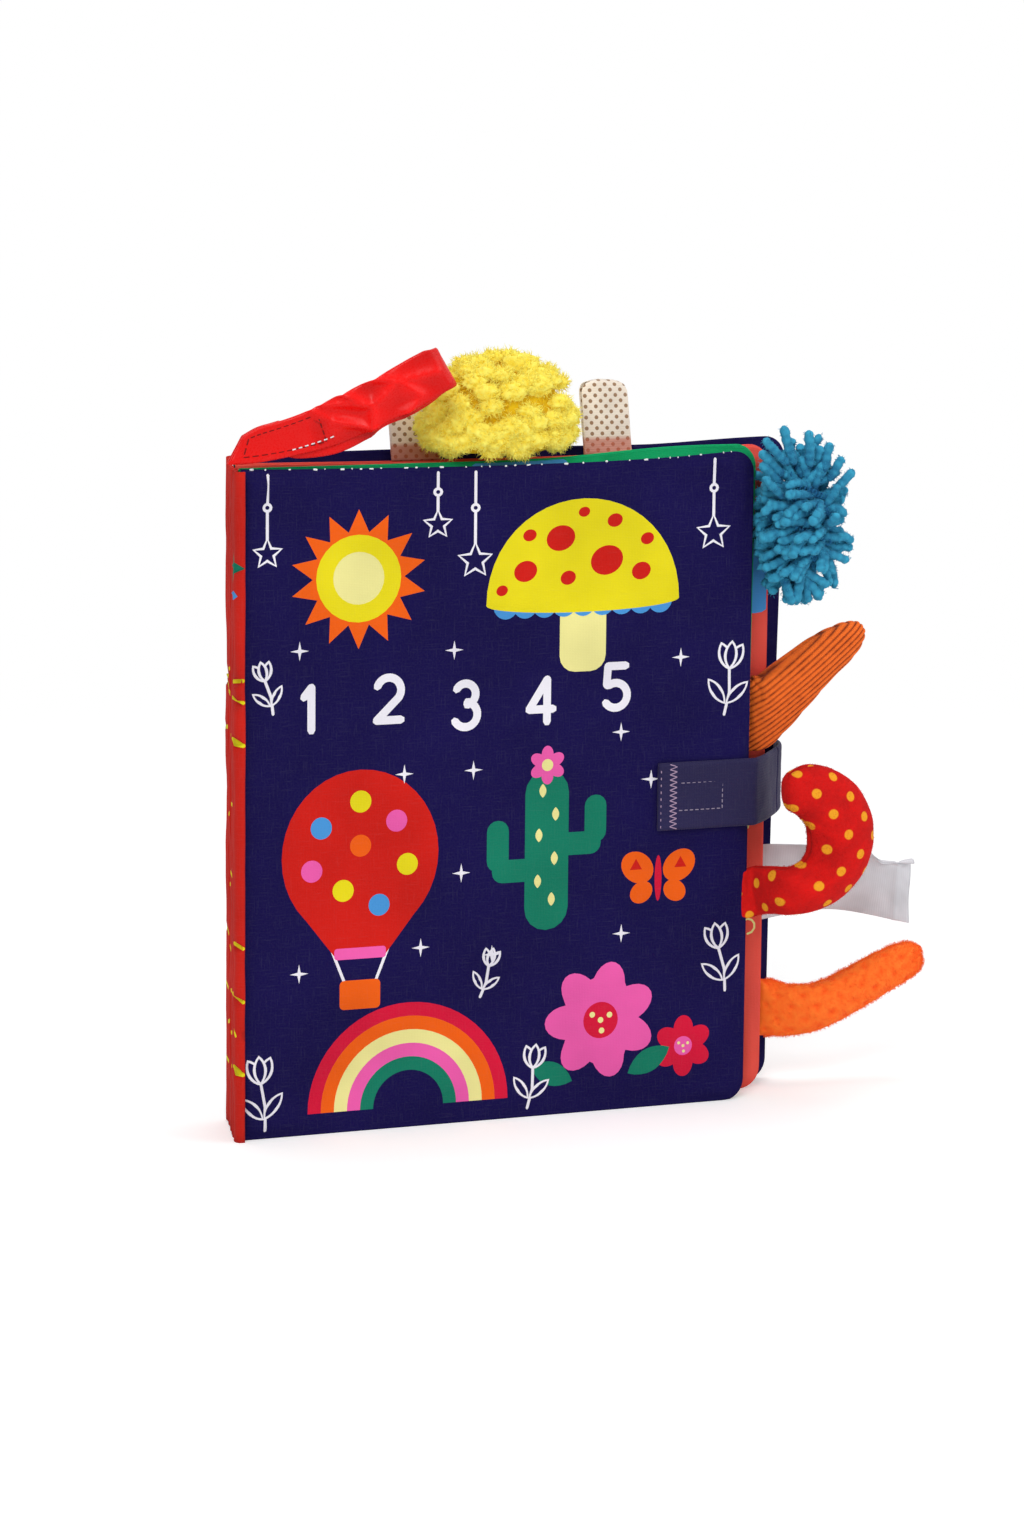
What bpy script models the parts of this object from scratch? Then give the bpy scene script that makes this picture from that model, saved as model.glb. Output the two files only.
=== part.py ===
"""A stuffed cloth baby book that stands on its lower edge, front cover towards -Y, spine at the left.

Two covers and three leaves are sewn at a red spine, each a pair of cloth shells with filling between.
Stuffed tails, a fringed pom, a ball, ribbon loops, a tag, a carrying loop and a closing strap are sewn
into their seams. All lengths are in metres, +Z is up, and the leaves turn about upright lines.
"""
import math

import bmesh
import bpy
from mathutils import Matrix, Vector

MM = 0.001

# Where the corner of spine and front face stands, so that the origin is under the middle of the book
SPINE_PLACE_X = -124.94 * MM
FRONT_PLACE_Y = -13.46 * MM

# Covers and leaves
PAGE_HEIGHT = 220.0 * MM
FRONT_COVER_WIDTH = 178.0 * MM
PANEL_THICKNESS = 6.0 * MM
CLOTH_THICKNESS = 0.5 * MM
EDGE_ROUNDING = 7.0 * MM
SEAM_BAND = 1.5 * MM
ROOT_GAP = 0.75 * MM
CLEARANCE = 0.3 * MM
SPINE_STEP = 1.5 * MM
SPINE_CLOTH_THICKNESS = 1.0 * MM
LEAF_LIFT = 0.5 * MM
LEAF_1_OVERHANG = 3.5 * MM
LEAF_2_OVERHANG = 11.5 * MM
LEAF_3_OVERHANG = 13.5 * MM
BACK_COVER_OVERHANG = 22.5 * MM
WADDING_INSET = 8.0 * MM
CRINKLE_FILM_THICKNESS = 0.2 * MM
SMALL_ROUNDING = 0.2 * MM
ROUNDING_MOST_SHARE = 1 / 3
CREASE_DEGREES = 40.0
PANEL_COLUMNS = 5
PANEL_ROWS = 6

# Closing strap
STRAP_HEIGHT = 22.8 * MM
STRAP_CENTRE_HEIGHT = 106.0 * MM
STRAP_THICKNESS = 1.4 * MM
STRAP_SEWN_LENGTH = 34.0 * MM
STRAP_PAST_COVER = 2.2 * MM
STRAP_FOLD_DEPTH = 2.6 * MM
STRAP_END_LENGTH = 15.0 * MM
STRAP_HINGE_GAP = 0.5 * MM
STRAP_ROUTE_SHARES = ((0.0, 0.0), (0.24, 0.14), (0.52, 0.36), (0.8, 0.6), (0.97, 0.82), (1.0, 1.0))
PATCH_LENGTH = 20.0 * MM
HOOK_PATCH_LENGTH = 11.0 * MM
PATCH_THICKNESS = 0.8 * MM
PATCH_MARGIN = 2.0 * MM
LOOP_PATCH_FROM_EDGE = 9.5 * MM

# Carrying loop
LOOP_REACH = 65.0 * MM
LOOP_RISE = 27.5 * MM
LOOP_LEAN = 11.5 * MM
LOOP_HALF_WIDTH = 7.8 * MM
LOOP_STRAP_THICKNESS = 1.2 * MM
LOOP_OPEN_HALF_GAP = 4.6 * MM
LOOP_LIFT = 0.8 * MM
LOOP_STITCHED_SHARE = 0.48
# Along the loop: share of its reach, rise, lean and half width
LOOP_ROUTE_SHARES = ((0.0, 0.0, 0.0, 0.6), (0.2, 0.1, 0.09, 0.72), (0.46, 0.29, 0.36, 0.93),
                     (0.7, 0.6, 0.64, 1.0), (0.86, 0.8, 0.82, 0.97), (1.0, 1.0, 1.0, 0.92))
LOOP_STATIONS = 15
FOLD_STATIONS = 5
SLOPE_READING_SHARE = 0.02

# Ball on the top edge of the second leaf
BALL_WIDTH = 55.0 * MM
BALL_DEPTH = 29.0 * MM
BALL_HEIGHT = 32.6 * MM
BALL_FROM_SPINE = 94.0 * MM
BALL_LEAN = 3.0 * MM
BALL_LIFT = 1.9 * MM
BALL_TAB_WIDTH = 16.0 * MM
TAB_THICKNESS = 1.6 * MM
ROUND_SIDES = 24
ROUND_RINGS = 14

# Ribbon loops on the top edge of the third leaf
RIBBON_WIDTH = 17.0 * MM
RIBBON_HEIGHT = 22.0 * MM
RIBBON_HALF_GAP = 1.9 * MM
RIBBON_THICKNESS = 0.5 * MM
RIBBON_LEAN = 6.0 * MM
LEFT_RIBBON_FROM_SPINE = 66.5 * MM
RIGHT_RIBBON_FROM_SPINE = 134.0 * MM
RIBBON_STATIONS = 7

# Fringed pom at the fore-edge of the second leaf
POM_HALF_WIDTH = 16.0 * MM
POM_HALF_DEPTH = 12.5 * MM
POM_HALF_HEIGHT = 28.0 * MM
POM_CENTRE_HEIGHT = 194.0 * MM
POM_PAST_SEAM = 8.6 * MM
POM_LEAN = 14.0 * MM
POM_TAB_HEIGHT = 16.0 * MM

# Stuffed tails: each has a root in a seam, and stations as shares of its sizes
TAIL_CLOTH_THICKNESS = 0.8 * MM
STUFFING_SHRINK = 2.1 * MM
TAIL_SIDES = 12
ROOT_STATIONS = 3
CORD_TAIL_ROOT_HEIGHT = 132.0 * MM
CORD_TAIL_REACH = 40.5 * MM
CORD_TAIL_RISE = 23.5 * MM
CORD_TAIL_HALF_WIDTH = 13.4 * MM
CORD_TAIL_HALF_DEPTH = 6.5 * MM
# Share of reach, of rise, of half width and of half depth
CORD_TAIL_SHARES = ((0.0, 0.0, 0.98, 0.3), (0.07, 0.03, 0.98, 0.48), (0.2, 0.12, 0.96, 0.8),
                    (0.42, 0.35, 0.88, 1.0), (0.62, 0.58, 0.74, 0.98), (0.8, 0.8, 0.58, 0.85),
                    (0.93, 0.94, 0.42, 0.66), (1.0, 1.0, 0.2, 0.34))
PLUSH_TAIL_ROOT_HEIGHT = 26.5 * MM
PLUSH_TAIL_REACH = 58.0 * MM
PLUSH_TAIL_RISE = 12.5 * MM
PLUSH_TAIL_LEAN = 5.0 * MM
PLUSH_TAIL_HALF_WIDTH = 10.6 * MM
PLUSH_TAIL_HALF_DEPTH = 6.2 * MM
# Share of reach, of rise, of half width, of half depth and of lean
PLUSH_TAIL_SHARES = ((0.0, 0.0, 1.0, 0.3, 0.0), (0.05, -0.03, 1.0, 0.48, 0.12), (0.14, -0.1, 0.98, 0.6, 0.5),
                     (0.3, -0.06, 0.88, 0.95, 0.9), (0.46, 0.14, 0.78, 1.0, 1.0), (0.64, 0.46, 0.7, 0.97, 1.0),
                     (0.82, 0.76, 0.65, 0.92, 1.0), (0.94, 0.93, 0.52, 0.72, 1.0), (1.0, 1.0, 0.24, 0.34, 1.0))
CURL_ROOT_HEIGHT = 70.4 * MM
CURL_BEND_RADIUS = 17.2 * MM
CURL_CENTRE_OUT = 9.2 * MM
CURL_RISE_SHARE = 1.22
CURL_LEAN = 15.4 * MM
CURL_HALF_WIDTH = 11.2 * MM
CURL_HALF_DEPTH = 9.2 * MM
CURL_START_DEGREES = -84.0
CURL_TURN_DEGREES = 184.0
CURL_BEND_STATIONS = 9
# Lead in from the seam: share of the way to the bend, of lean, of half width and of half depth
CURL_LEAD_SHARES = ((0.0, 0.0, 0.8, 0.2), (0.22, 0.08, 0.8, 0.32), (0.48, 0.42, 0.78, 0.55),
                    (0.74, 0.8, 0.76, 0.78))
# Half width and half depth around the bend
CURL_BEND_SHARES = (0.76, 0.82, 0.92, 1.0, 1.03, 1.0, 0.9, 0.7, 0.34)

# Tag at the fore-edge of the third leaf
TAG_LENGTH = 55.0 * MM
TAG_HEIGHT = 26.0 * MM
TAG_THICKNESS = 1.0 * MM
TAG_CENTRE_HEIGHT = 70.0 * MM
TAG_DROOP = 3.4 * MM
TAG_BOW = 2.4 * MM
TAG_COLUMNS = 10
TAG_ROWS = 3

PANELS = (
    ("front_cover", 0.0, 0.0),
    ("leaf_1", LEAF_1_OVERHANG, LEAF_LIFT),
    ("leaf_2", LEAF_2_OVERHANG, LEAF_LIFT),
    ("leaf_3", LEAF_3_OVERHANG, LEAF_LIFT),
    ("back_cover", BACK_COVER_OVERHANG, 0.0),
)
PANEL_PITCH = PANEL_THICKNESS + CLEARANCE

book_parts = None
materials = {}


def clear_scene():
    """Remove every object that the scene starts with."""
    for item in list(bpy.data.objects):
        bpy.data.objects.remove(item, do_unlink=True)


def start_collection(name):
    """Make the collection that holds the book's pieces."""
    collection = bpy.data.collections.new(name)
    bpy.context.scene.collection.children.link(collection)
    return collection


def cloth(name, colour, roughness, metallic=0.0):
    """A cloth, film or filling material with its colour."""
    if name not in materials:
        material = bpy.data.materials.new(name)
        material.use_nodes = True
        shader = material.node_tree.nodes["Principled BSDF"]
        shader.inputs["Base Color"].default_value = (*colour, 1.0)
        shader.inputs["Roughness"].default_value = roughness
        shader.inputs["Metallic"].default_value = metallic
        materials[name] = material
    return materials[name]


def navy_print():
    return cloth("navy_print", (0.02, 0.012, 0.11), 0.8)


def green_print():
    return cloth("green_print", (0.01, 0.33, 0.16), 0.8)


def coral_print():
    return cloth("coral_print", (0.75, 0.08, 0.05), 0.8)


def spine_red():
    return cloth("spine_red", (0.62, 0.03, 0.015), 0.8)


def loop_red():
    return cloth("loop_red", (0.8, 0.02, 0.01), 0.6)


def strap_navy():
    return cloth("strap_navy", (0.02, 0.014, 0.1), 0.7)


def polyester_filling():
    return cloth("polyester_filling", (0.85, 0.85, 0.82), 0.9)


def crinkle_film():
    return cloth("crinkle_film", (0.8, 0.82, 0.84), 0.3)


def yellow_chenille():
    return cloth("yellow_chenille", (0.95, 0.75, 0.03), 0.95)


def blue_chenille():
    return cloth("blue_chenille", (0.06, 0.35, 0.62), 0.95)


def orange_corduroy():
    return cloth("orange_corduroy", (0.75, 0.14, 0.02), 0.85)


def orange_plush():
    return cloth("orange_plush", (0.95, 0.16, 0.01), 0.85)


def red_velour():
    return cloth("red_velour", (0.6, 0.008, 0.004), 0.8)


def dotted_satin():
    return cloth("dotted_satin", (0.78, 0.68, 0.55), 0.4)


def tag_satin():
    return cloth("tag_satin", (0.85, 0.76, 0.78), 0.45)


def hook_and_loop():
    return cloth("hook_and_loop", (0.03, 0.03, 0.08), 0.9)


def hinge_empty(name, place, parent):
    """An empty on a joint's axis, that carries everything that turns with it."""
    empty = bpy.data.objects.new(name, None)
    bpy.context.scene.collection.objects.link(empty)
    empty.location = place - (parent["axis_place"] if parent else Vector())
    empty.parent = parent["empty"] if parent else None
    return {"empty": empty, "axis_place": place}


def keep(item, body, material):
    """Put a piece modelled in book coordinates in the collection, under its body's empty."""
    item.parent = body["empty"]
    item.location = item.location - body["axis_place"]
    item.data.materials.clear()
    item.data.materials.append(material)
    if item.name not in book_parts.objects:
        book_parts.objects.link(item)
    return item


def mesh_object(name, mesh_builder, smooth=True):
    """A new mesh object from a filled bmesh."""
    mesh = bpy.data.meshes.new(name)
    bmesh.ops.recalc_face_normals(mesh_builder, faces=mesh_builder.faces)
    mesh_builder.to_mesh(mesh)
    mesh_builder.free()
    if smooth:
        mesh.shade_smooth()
        mesh.set_sharp_from_angle(angle=math.radians(CREASE_DEGREES))
    return bpy.data.objects.new(name, mesh)


def soft_box(name, low, high, rounding=SMALL_ROUNDING):
    """A block between two corners with slightly rounded edges."""
    builder = bmesh.new()
    bmesh.ops.create_cube(builder, size=1.0)
    size = high - low
    bmesh.ops.scale(builder, vec=size, verts=builder.verts)
    bmesh.ops.translate(builder, vec=(low + high) / 2, verts=builder.verts)
    item = mesh_object(name, builder, smooth=False)
    bevel = item.modifiers.new("rounded", "BEVEL")
    bevel.width = min(rounding, min(size) * ROUNDING_MOST_SHARE)
    bevel.segments = 1
    return item


def solidify(item, thickness, offset, even=True):
    """Give an open surface its cloth's thickness."""
    modifier = item.modifiers.new("cloth", "SOLIDIFY")
    modifier.thickness = thickness
    modifier.offset = offset
    modifier.use_even_offset = even


def grid_stops(low, high, inner_count, round_low=True):
    """Lines across a panel, close together where its edges round off."""
    inner_low = low + EDGE_ROUNDING if round_low else low
    inner_high = high - EDGE_ROUNDING
    inner = [inner_low + (inner_high - inner_low) * i / inner_count for i in range(inner_count + 1)]
    halfway = (SEAM_BAND + EDGE_ROUNDING) / 2
    before = [low, low + SEAM_BAND, low + halfway] if round_low else []
    return before + inner + [high - halfway, high - SEAM_BAND, high]


def panel_box(index):
    """Where a panel's cloth starts and ends: spine side, fore-edge, lower edge, upper edge, middle."""
    _, overhang, lift = PANELS[index]
    left = index * SPINE_STEP + SPINE_CLOTH_THICKNESS + CLEARANCE
    right = FRONT_COVER_WIDTH + overhang
    middle = index * PANEL_PITCH + PANEL_THICKNESS / 2
    return left, right, lift, PAGE_HEIGHT, middle


def pillow_height(distance):
    """Half thickness of a panel at a distance from its sewn edge: a flat seam, then a rounded swell."""
    seam = CLEARANCE / 2 + CLOTH_THICKNESS
    crown = PANEL_THICKNESS / 2
    past_seam = max(distance - SEAM_BAND, 0.0)
    inward = 1 - min(past_seam / (EDGE_ROUNDING - SEAM_BAND), 1.0)
    return seam + (crown - seam) * (1 - inward * inward)


def round_corner(x, z, right, low, high):
    """Pull a grid point near a corner at the fore-edge onto the corner's arc."""
    across = max(x - right + EDGE_ROUNDING, 0.0)
    upward = max(low + EDGE_ROUNDING - z, z - high + EDGE_ROUNDING, 0.0)
    if across == 0.0 or upward == 0.0:
        return x, z
    shrink = max(across, upward) / math.hypot(across, upward)
    above = 1.0 if z > (low + high) / 2 else -1.0
    return x + across * (shrink - 1), z + above * upward * (shrink - 1)


def panel_shell(name, index, side, body, material):
    """One printed cloth of a panel: a crowned shell, open at the spine, with two rounded corners."""
    left, right, low, high, middle = panel_box(index)
    columns = grid_stops(left, right, PANEL_COLUMNS, round_low=False)
    rows = grid_stops(low, high, PANEL_ROWS)
    builder = bmesh.new()
    bmesh.ops.create_grid(builder, x_segments=len(columns) - 1, y_segments=len(rows) - 1, size=1.0)
    for vertex in builder.verts:
        x = columns[round((vertex.co.x + 1) / 2 * (len(columns) - 1))]
        z = rows[round((vertex.co.y + 1) / 2 * (len(rows) - 1))]
        from_edge = min(right - x, z - low, high - z)
        rounded_x, rounded_z = round_corner(x, z, right, low, high)
        vertex.co = (rounded_x, middle + side * pillow_height(from_edge), rounded_z)
    item = mesh_object(name, builder)
    if item.data.polygons[0].normal.y * side < 0:
        item.data.flip_normals()
    solidify(item, CLOTH_THICKNESS, -1.0)
    return keep(item, body, material)


def panel(index, body, front_material, back_material):
    """The cloths, filling and strip of spine of one cover or leaf."""
    name = PANELS[index][0]
    left, right, low, high, middle = panel_box(index)
    panel_shell(name + "_front_cloth", index, -1, body, front_material)
    panel_shell(name + "_back_cloth", index, 1, body, back_material)
    inside = PANEL_THICKNESS / 2 - CLOTH_THICKNESS - CLEARANCE
    film_room = 0.0
    if name.startswith("leaf"):
        film_room = CRINKLE_FILM_THICKNESS + CLEARANCE
        film_low = Vector((left + WADDING_INSET, middle - inside, low + WADDING_INSET))
        film_high = Vector((right - WADDING_INSET, middle - inside + CRINKLE_FILM_THICKNESS,
                            high - WADDING_INSET))
        keep(soft_box(name + "_crinkle_film", film_low, film_high), body, crinkle_film())
    wadding_low = Vector((left + WADDING_INSET, middle - inside + film_room, low + WADDING_INSET))
    wadding_high = Vector((right - WADDING_INSET, middle + inside, high - WADDING_INSET))
    keep(soft_box(name + "_wadding", wadding_low, wadding_high), body, polyester_filling())
    spine_low = Vector((index * SPINE_STEP, middle - PANEL_THICKNESS / 2, low))
    spine_high = Vector((index * SPINE_STEP + SPINE_CLOTH_THICKNESS, middle + PANEL_THICKNESS / 2, high))
    keep(soft_box(name + "_spine_cloth", spine_low, spine_high), body, spine_red())


def spine_hinge_place(index):
    """The upright line on the spine about which a panel turns away from the one behind it."""
    return Vector((index * SPINE_STEP, index * PANEL_PITCH + PANEL_THICKNESS + CLEARANCE / 2, 0.0))


def seam_place(index, height):
    """The middle of a panel's fore-edge seam at a height."""
    _, right, _, _, middle = panel_box(index)
    return Vector((right + ROOT_GAP, middle, height))


def upright_strap(name, points, thickness, height, centre_height):
    """A flat strap that stands on its edge and follows points seen from above."""
    curve = bpy.data.curves.new(name, "CURVE")
    curve.dimensions = "2D"
    curve.fill_mode = "NONE"
    curve.extrude = height / 2
    spline = curve.splines.new("POLY")
    spline.points.add(len(points) - 1)
    for point, (x, y) in zip(spline.points, points):
        point.co = (x, y, 0.0, 1.0)
    item = bpy.data.objects.new(name, curve)
    item.location = (0.0, 0.0, centre_height)
    solidify(item, thickness, 0.0)
    return item


def strap_fold_place():
    """The upright line behind the back cover where the strap's end turns."""
    _, right, _, _, _ = panel_box(len(PANELS) - 1)
    rear = (len(PANELS) - 1) * PANEL_PITCH + PANEL_THICKNESS
    inner_face = right + STRAP_PAST_COVER - STRAP_THICKNESS / 2
    return Vector((inner_face, rear + STRAP_FOLD_DEPTH, STRAP_CENTRE_HEIGHT))


def strap_hinge_place():
    """The upright line at the front cover's fore-edge where the strap leaves its stitching."""
    surface = -CLEARANCE - STRAP_THICKNESS / 2
    return Vector((FRONT_COVER_WIDTH + STRAP_HINGE_GAP, surface, STRAP_CENTRE_HEIGHT))


def closing_strap(front_body, flap_body, end_body, back_body):
    """The navy strap: sewn part, the part round the fore-edge, its end, and the two patches."""
    hinge = strap_hinge_place()
    fold = strap_fold_place()
    half_height = STRAP_HEIGHT / 2
    sewn_low = Vector((FRONT_COVER_WIDTH - STRAP_SEWN_LENGTH, hinge.y - STRAP_THICKNESS / 2,
                       STRAP_CENTRE_HEIGHT - half_height))
    sewn_high = Vector((FRONT_COVER_WIDTH, hinge.y + STRAP_THICKNESS / 2, STRAP_CENTRE_HEIGHT + half_height))
    keep(soft_box("closing_strap_sewn_part", sewn_low, sewn_high), front_body, strap_navy())
    start = Vector((hinge.x + STRAP_HINGE_GAP, hinge.y))
    finish = Vector((fold.x + STRAP_THICKNESS / 2, fold.y - STRAP_HINGE_GAP / 2))
    route = [(start.x + (finish.x - start.x) * across, start.y + (finish.y - start.y) * back)
             for across, back in STRAP_ROUTE_SHARES]
    flap = upright_strap("closing_strap_flap", route, STRAP_THICKNESS, STRAP_HEIGHT, STRAP_CENTRE_HEIGHT)
    keep(flap, flap_body, strap_navy())
    end_low = Vector((fold.x, fold.y + STRAP_HINGE_GAP / 2, STRAP_CENTRE_HEIGHT - half_height))
    end_high = Vector((fold.x + STRAP_THICKNESS, fold.y + STRAP_END_LENGTH, STRAP_CENTRE_HEIGHT + half_height))
    keep(soft_box("closing_strap_end", end_low, end_high), end_body, strap_navy())
    patch_half = half_height - PATCH_MARGIN
    hook_low = Vector((end_low.x - CLEARANCE - PATCH_THICKNESS, end_high.y - SMALL_ROUNDING - HOOK_PATCH_LENGTH,
                       STRAP_CENTRE_HEIGHT - patch_half))
    hook_high = Vector((end_low.x - CLEARANCE, end_high.y - SMALL_ROUNDING, STRAP_CENTRE_HEIGHT + patch_half))
    keep(soft_box("hook_patch", hook_low, hook_high), end_body, hook_and_loop())
    _, right, _, _, middle = panel_box(len(PANELS) - 1)
    rear = middle + PANEL_THICKNESS / 2
    loop_low = Vector((right - LOOP_PATCH_FROM_EDGE - PATCH_LENGTH, rear + CLEARANCE,
                       STRAP_CENTRE_HEIGHT - patch_half))
    loop_high = Vector((right - LOOP_PATCH_FROM_EDGE, rear + CLEARANCE + PATCH_THICKNESS,
                        STRAP_CENTRE_HEIGHT + patch_half))
    keep(soft_box("loop_patch", loop_low, loop_high), back_body, hook_and_loop())


def share_along(table, share):
    """The columns after the first of a table of shares, read smoothly at a share of its first column."""
    last = len(table) - 1
    place = next((i for i in range(last) if share <= table[i + 1][0]), last - 1)
    before = table[max(place - 1, 0)]
    low = table[place]
    high = table[place + 1]
    after = table[min(place + 2, last)]
    span = high[0] - low[0]
    step = (share - low[0]) / span
    values = []
    for column in range(1, len(low)):
        slope_low = (high[column] - before[column]) / (high[0] - before[0]) * span
        slope_high = (after[column] - low[column]) / (after[0] - low[0]) * span
        rise = high[column] - low[column]
        cubic = slope_low + slope_high - 2 * rise
        square = 3 * rise - 2 * slope_low - slope_high
        values.append(low[column] + step * (slope_low + step * (square + step * cubic)))
    return values


def loft(name, rings, closed_start=True, closed_end=True):
    """A skin through rings of points that have unlike sizes."""
    builder = bmesh.new()
    made = [[builder.verts.new(point) for point in ring] for ring in rings]
    count = len(made[0])
    for ring, following in zip(made, made[1:]):
        for side in range(count):
            after = (side + 1) % count
            builder.faces.new((ring[side], ring[after], following[after], following[side]))
    if closed_start:
        builder.faces.new(tuple(reversed(made[0])))
    if closed_end:
        builder.faces.new(tuple(made[-1]))
    return mesh_object(name, builder)


def loop_hinge_place():
    """The line across the top of the spine about which the carrying loop lifts."""
    _, _, _, high, middle = panel_box(0)
    return Vector((0.0, middle, high + LOOP_LIFT))


def loop_station(share, across_gap):
    """Centre, upward width direction and half width of the loop's strap at a share of its reach."""
    rise, lean, width = share_along(LOOP_ROUTE_SHARES, share)
    half_width = LOOP_HALF_WIDTH * width
    root = loop_hinge_place() + Vector((0.0, 0.0, LOOP_HALF_WIDTH * LOOP_ROUTE_SHARES[0][3]))
    centre = root + Vector((LOOP_REACH * share, -LOOP_LEAN * lean + across_gap, LOOP_RISE * rise))
    share_before = max(share - SLOPE_READING_SHARE, 0.0)
    share_after = min(share + SLOPE_READING_SHARE, 1.0)
    rise_before = share_along(LOOP_ROUTE_SHARES, share_before)[0]
    rise_after = share_along(LOOP_ROUTE_SHARES, share_after)[0]
    run = (share_after - share_before) * LOOP_REACH
    slope = math.atan2((rise_after - rise_before) * LOOP_RISE, run)
    return centre, Vector((-math.sin(slope), 0.0, math.cos(slope))), half_width


def carrying_loop(body):
    """The red strap that runs out from the spine, folds over and comes back beside itself."""
    sewn_gap = LOOP_STRAP_THICKNESS / 2 + CLEARANCE / 2
    fold_share = LOOP_OPEN_HALF_GAP / LOOP_REACH
    path = []
    for step in range(LOOP_STATIONS):
        share = (1 - fold_share) * step / (LOOP_STATIONS - 1)
        past = max(share - LOOP_STITCHED_SHARE, 0.0) / (1 - fold_share - LOOP_STITCHED_SHARE)
        opened = math.sin(min(past, 0.5) * math.pi) if past < 0.5 else 1.0
        path.append((share, sewn_gap + (LOOP_OPEN_HALF_GAP - sewn_gap) * opened * opened))
    bend = [(1 - fold_share + fold_share * math.sin(math.pi * step / (FOLD_STATIONS + 1)),
             LOOP_OPEN_HALF_GAP * math.cos(math.pi * step / (FOLD_STATIONS + 1)))
            for step in range(1, FOLD_STATIONS + 1)]
    whole = [(share, -gap) for share, gap in path] + [(share, -gap) for share, gap in bend]
    whole += [(share, gap) for share, gap in reversed(path)]
    centres = [loop_station(share, gap) for share, gap in whole]
    rings = []
    for place, (centre, upward, half_width) in enumerate(centres):
        before = centres[max(place - 1, 0)][0]
        after = centres[min(place + 1, len(centres) - 1)][0]
        sideways = (after - before).cross(upward).normalized() * (LOOP_STRAP_THICKNESS / 2)
        rings.append([centre + upward * half_width + sideways, centre + upward * half_width - sideways,
                      centre - upward * half_width - sideways, centre - upward * half_width + sideways])
    keep(loft("carrying_loop", rings), body, loop_red())


def ellipsoid(name, centre, half_sizes):
    builder = bmesh.new()
    bmesh.ops.create_uvsphere(builder, u_segments=ROUND_SIDES, v_segments=ROUND_RINGS, radius=1.0)
    bmesh.ops.scale(builder, vec=half_sizes, verts=builder.verts)
    bmesh.ops.translate(builder, vec=centre, verts=builder.verts)
    return mesh_object(name, builder)


def ball_hinge_place():
    _, _, _, high, middle = panel_box(2)
    return Vector((BALL_FROM_SPINE, middle, high))


def ball(body):
    """The chenille ball over the second leaf's top edge, and the tab that holds it in the seam."""
    root = ball_hinge_place()
    bottom = root.z + BALL_LIFT
    centre = Vector((root.x, root.y - BALL_LEAN, bottom + BALL_HEIGHT / 2))
    half_sizes = Vector((BALL_WIDTH / 2, BALL_DEPTH / 2, BALL_HEIGHT / 2))
    keep(ellipsoid("chenille_ball", centre, half_sizes), body, yellow_chenille())
    tab_low = Vector((root.x - BALL_TAB_WIDTH / 2, root.y - TAB_THICKNESS / 2, root.z + CLEARANCE))
    tab_high = Vector((root.x + BALL_TAB_WIDTH / 2, root.y + TAB_THICKNESS / 2, bottom - CLEARANCE / 2))
    keep(soft_box("ball_tab", tab_low, tab_high), body, yellow_chenille())


def ribbon_hinge_place(from_spine):
    _, _, _, high, middle = panel_box(3)
    return Vector((from_spine, middle, high))


def ribbon_loop(name, from_spine, body):
    """A folded satin ribbon that stands on the third leaf's top edge."""
    root = ribbon_hinge_place(from_spine)
    half_foot = RIBBON_THICKNESS / 2 + CLEARANCE / 2
    straight = RIBBON_HEIGHT - RIBBON_HALF_GAP - ROOT_GAP
    path = []
    for step in range(RIBBON_STATIONS):
        share = step / (RIBBON_STATIONS - 1)
        spread = half_foot + (RIBBON_HALF_GAP - half_foot) * math.sin(share * math.pi / 2)
        path.append((spread, ROOT_GAP + straight * share))
    top = [(RIBBON_HALF_GAP * math.cos(math.pi * step / RIBBON_STATIONS),
            ROOT_GAP + straight + RIBBON_HALF_GAP * math.sin(math.pi * step / RIBBON_STATIONS))
           for step in range(1, RIBBON_STATIONS)]
    whole = path + top + [(-spread, height) for spread, height in reversed(path)]
    curve = bpy.data.curves.new(name, "CURVE")
    curve.dimensions = "2D"
    curve.fill_mode = "NONE"
    curve.extrude = RIBBON_WIDTH / 2
    spline = curve.splines.new("POLY")
    spline.points.add(len(whole) - 1)
    for point, (spread, height) in zip(spline.points, whole):
        leaned = spread + RIBBON_LEAN * height / RIBBON_HEIGHT
        point.co = (leaned, height, 0.0, 1.0)
    item = bpy.data.objects.new(name, curve)
    item.matrix_world = Matrix(((0, 0, 1, root.x), (1, 0, 0, root.y), (0, 1, 0, root.z), (0, 0, 0, 1)))
    solidify(item, RIBBON_THICKNESS, 0.0)
    keep(item, body, dotted_satin())


def pom(body):
    """The fringed pom that hangs from the second leaf's fore-edge, and its tab."""
    root = seam_place(2, POM_CENTRE_HEIGHT)
    centre = root + Vector((POM_PAST_SEAM, -POM_LEAN, 0.0))
    half_sizes = Vector((POM_HALF_WIDTH, POM_HALF_DEPTH, POM_HALF_HEIGHT))
    keep(ellipsoid("fringed_pom", centre, half_sizes), body, blue_chenille())
    away = root - centre
    reach = math.hypot(away.x / POM_HALF_WIDTH, away.y / POM_HALF_DEPTH)
    surface = centre + away / reach
    toward = (surface - root).normalized()
    first = root + toward * (TAB_THICKNESS / 2)
    last = surface - toward * (TAB_THICKNESS / 2)
    tab = upright_strap("pom_tab", [(first.x, first.y), (last.x, last.y)], TAB_THICKNESS, POM_TAB_HEIGHT,
                        POM_CENTRE_HEIGHT)
    keep(tab, body, blue_chenille())


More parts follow.
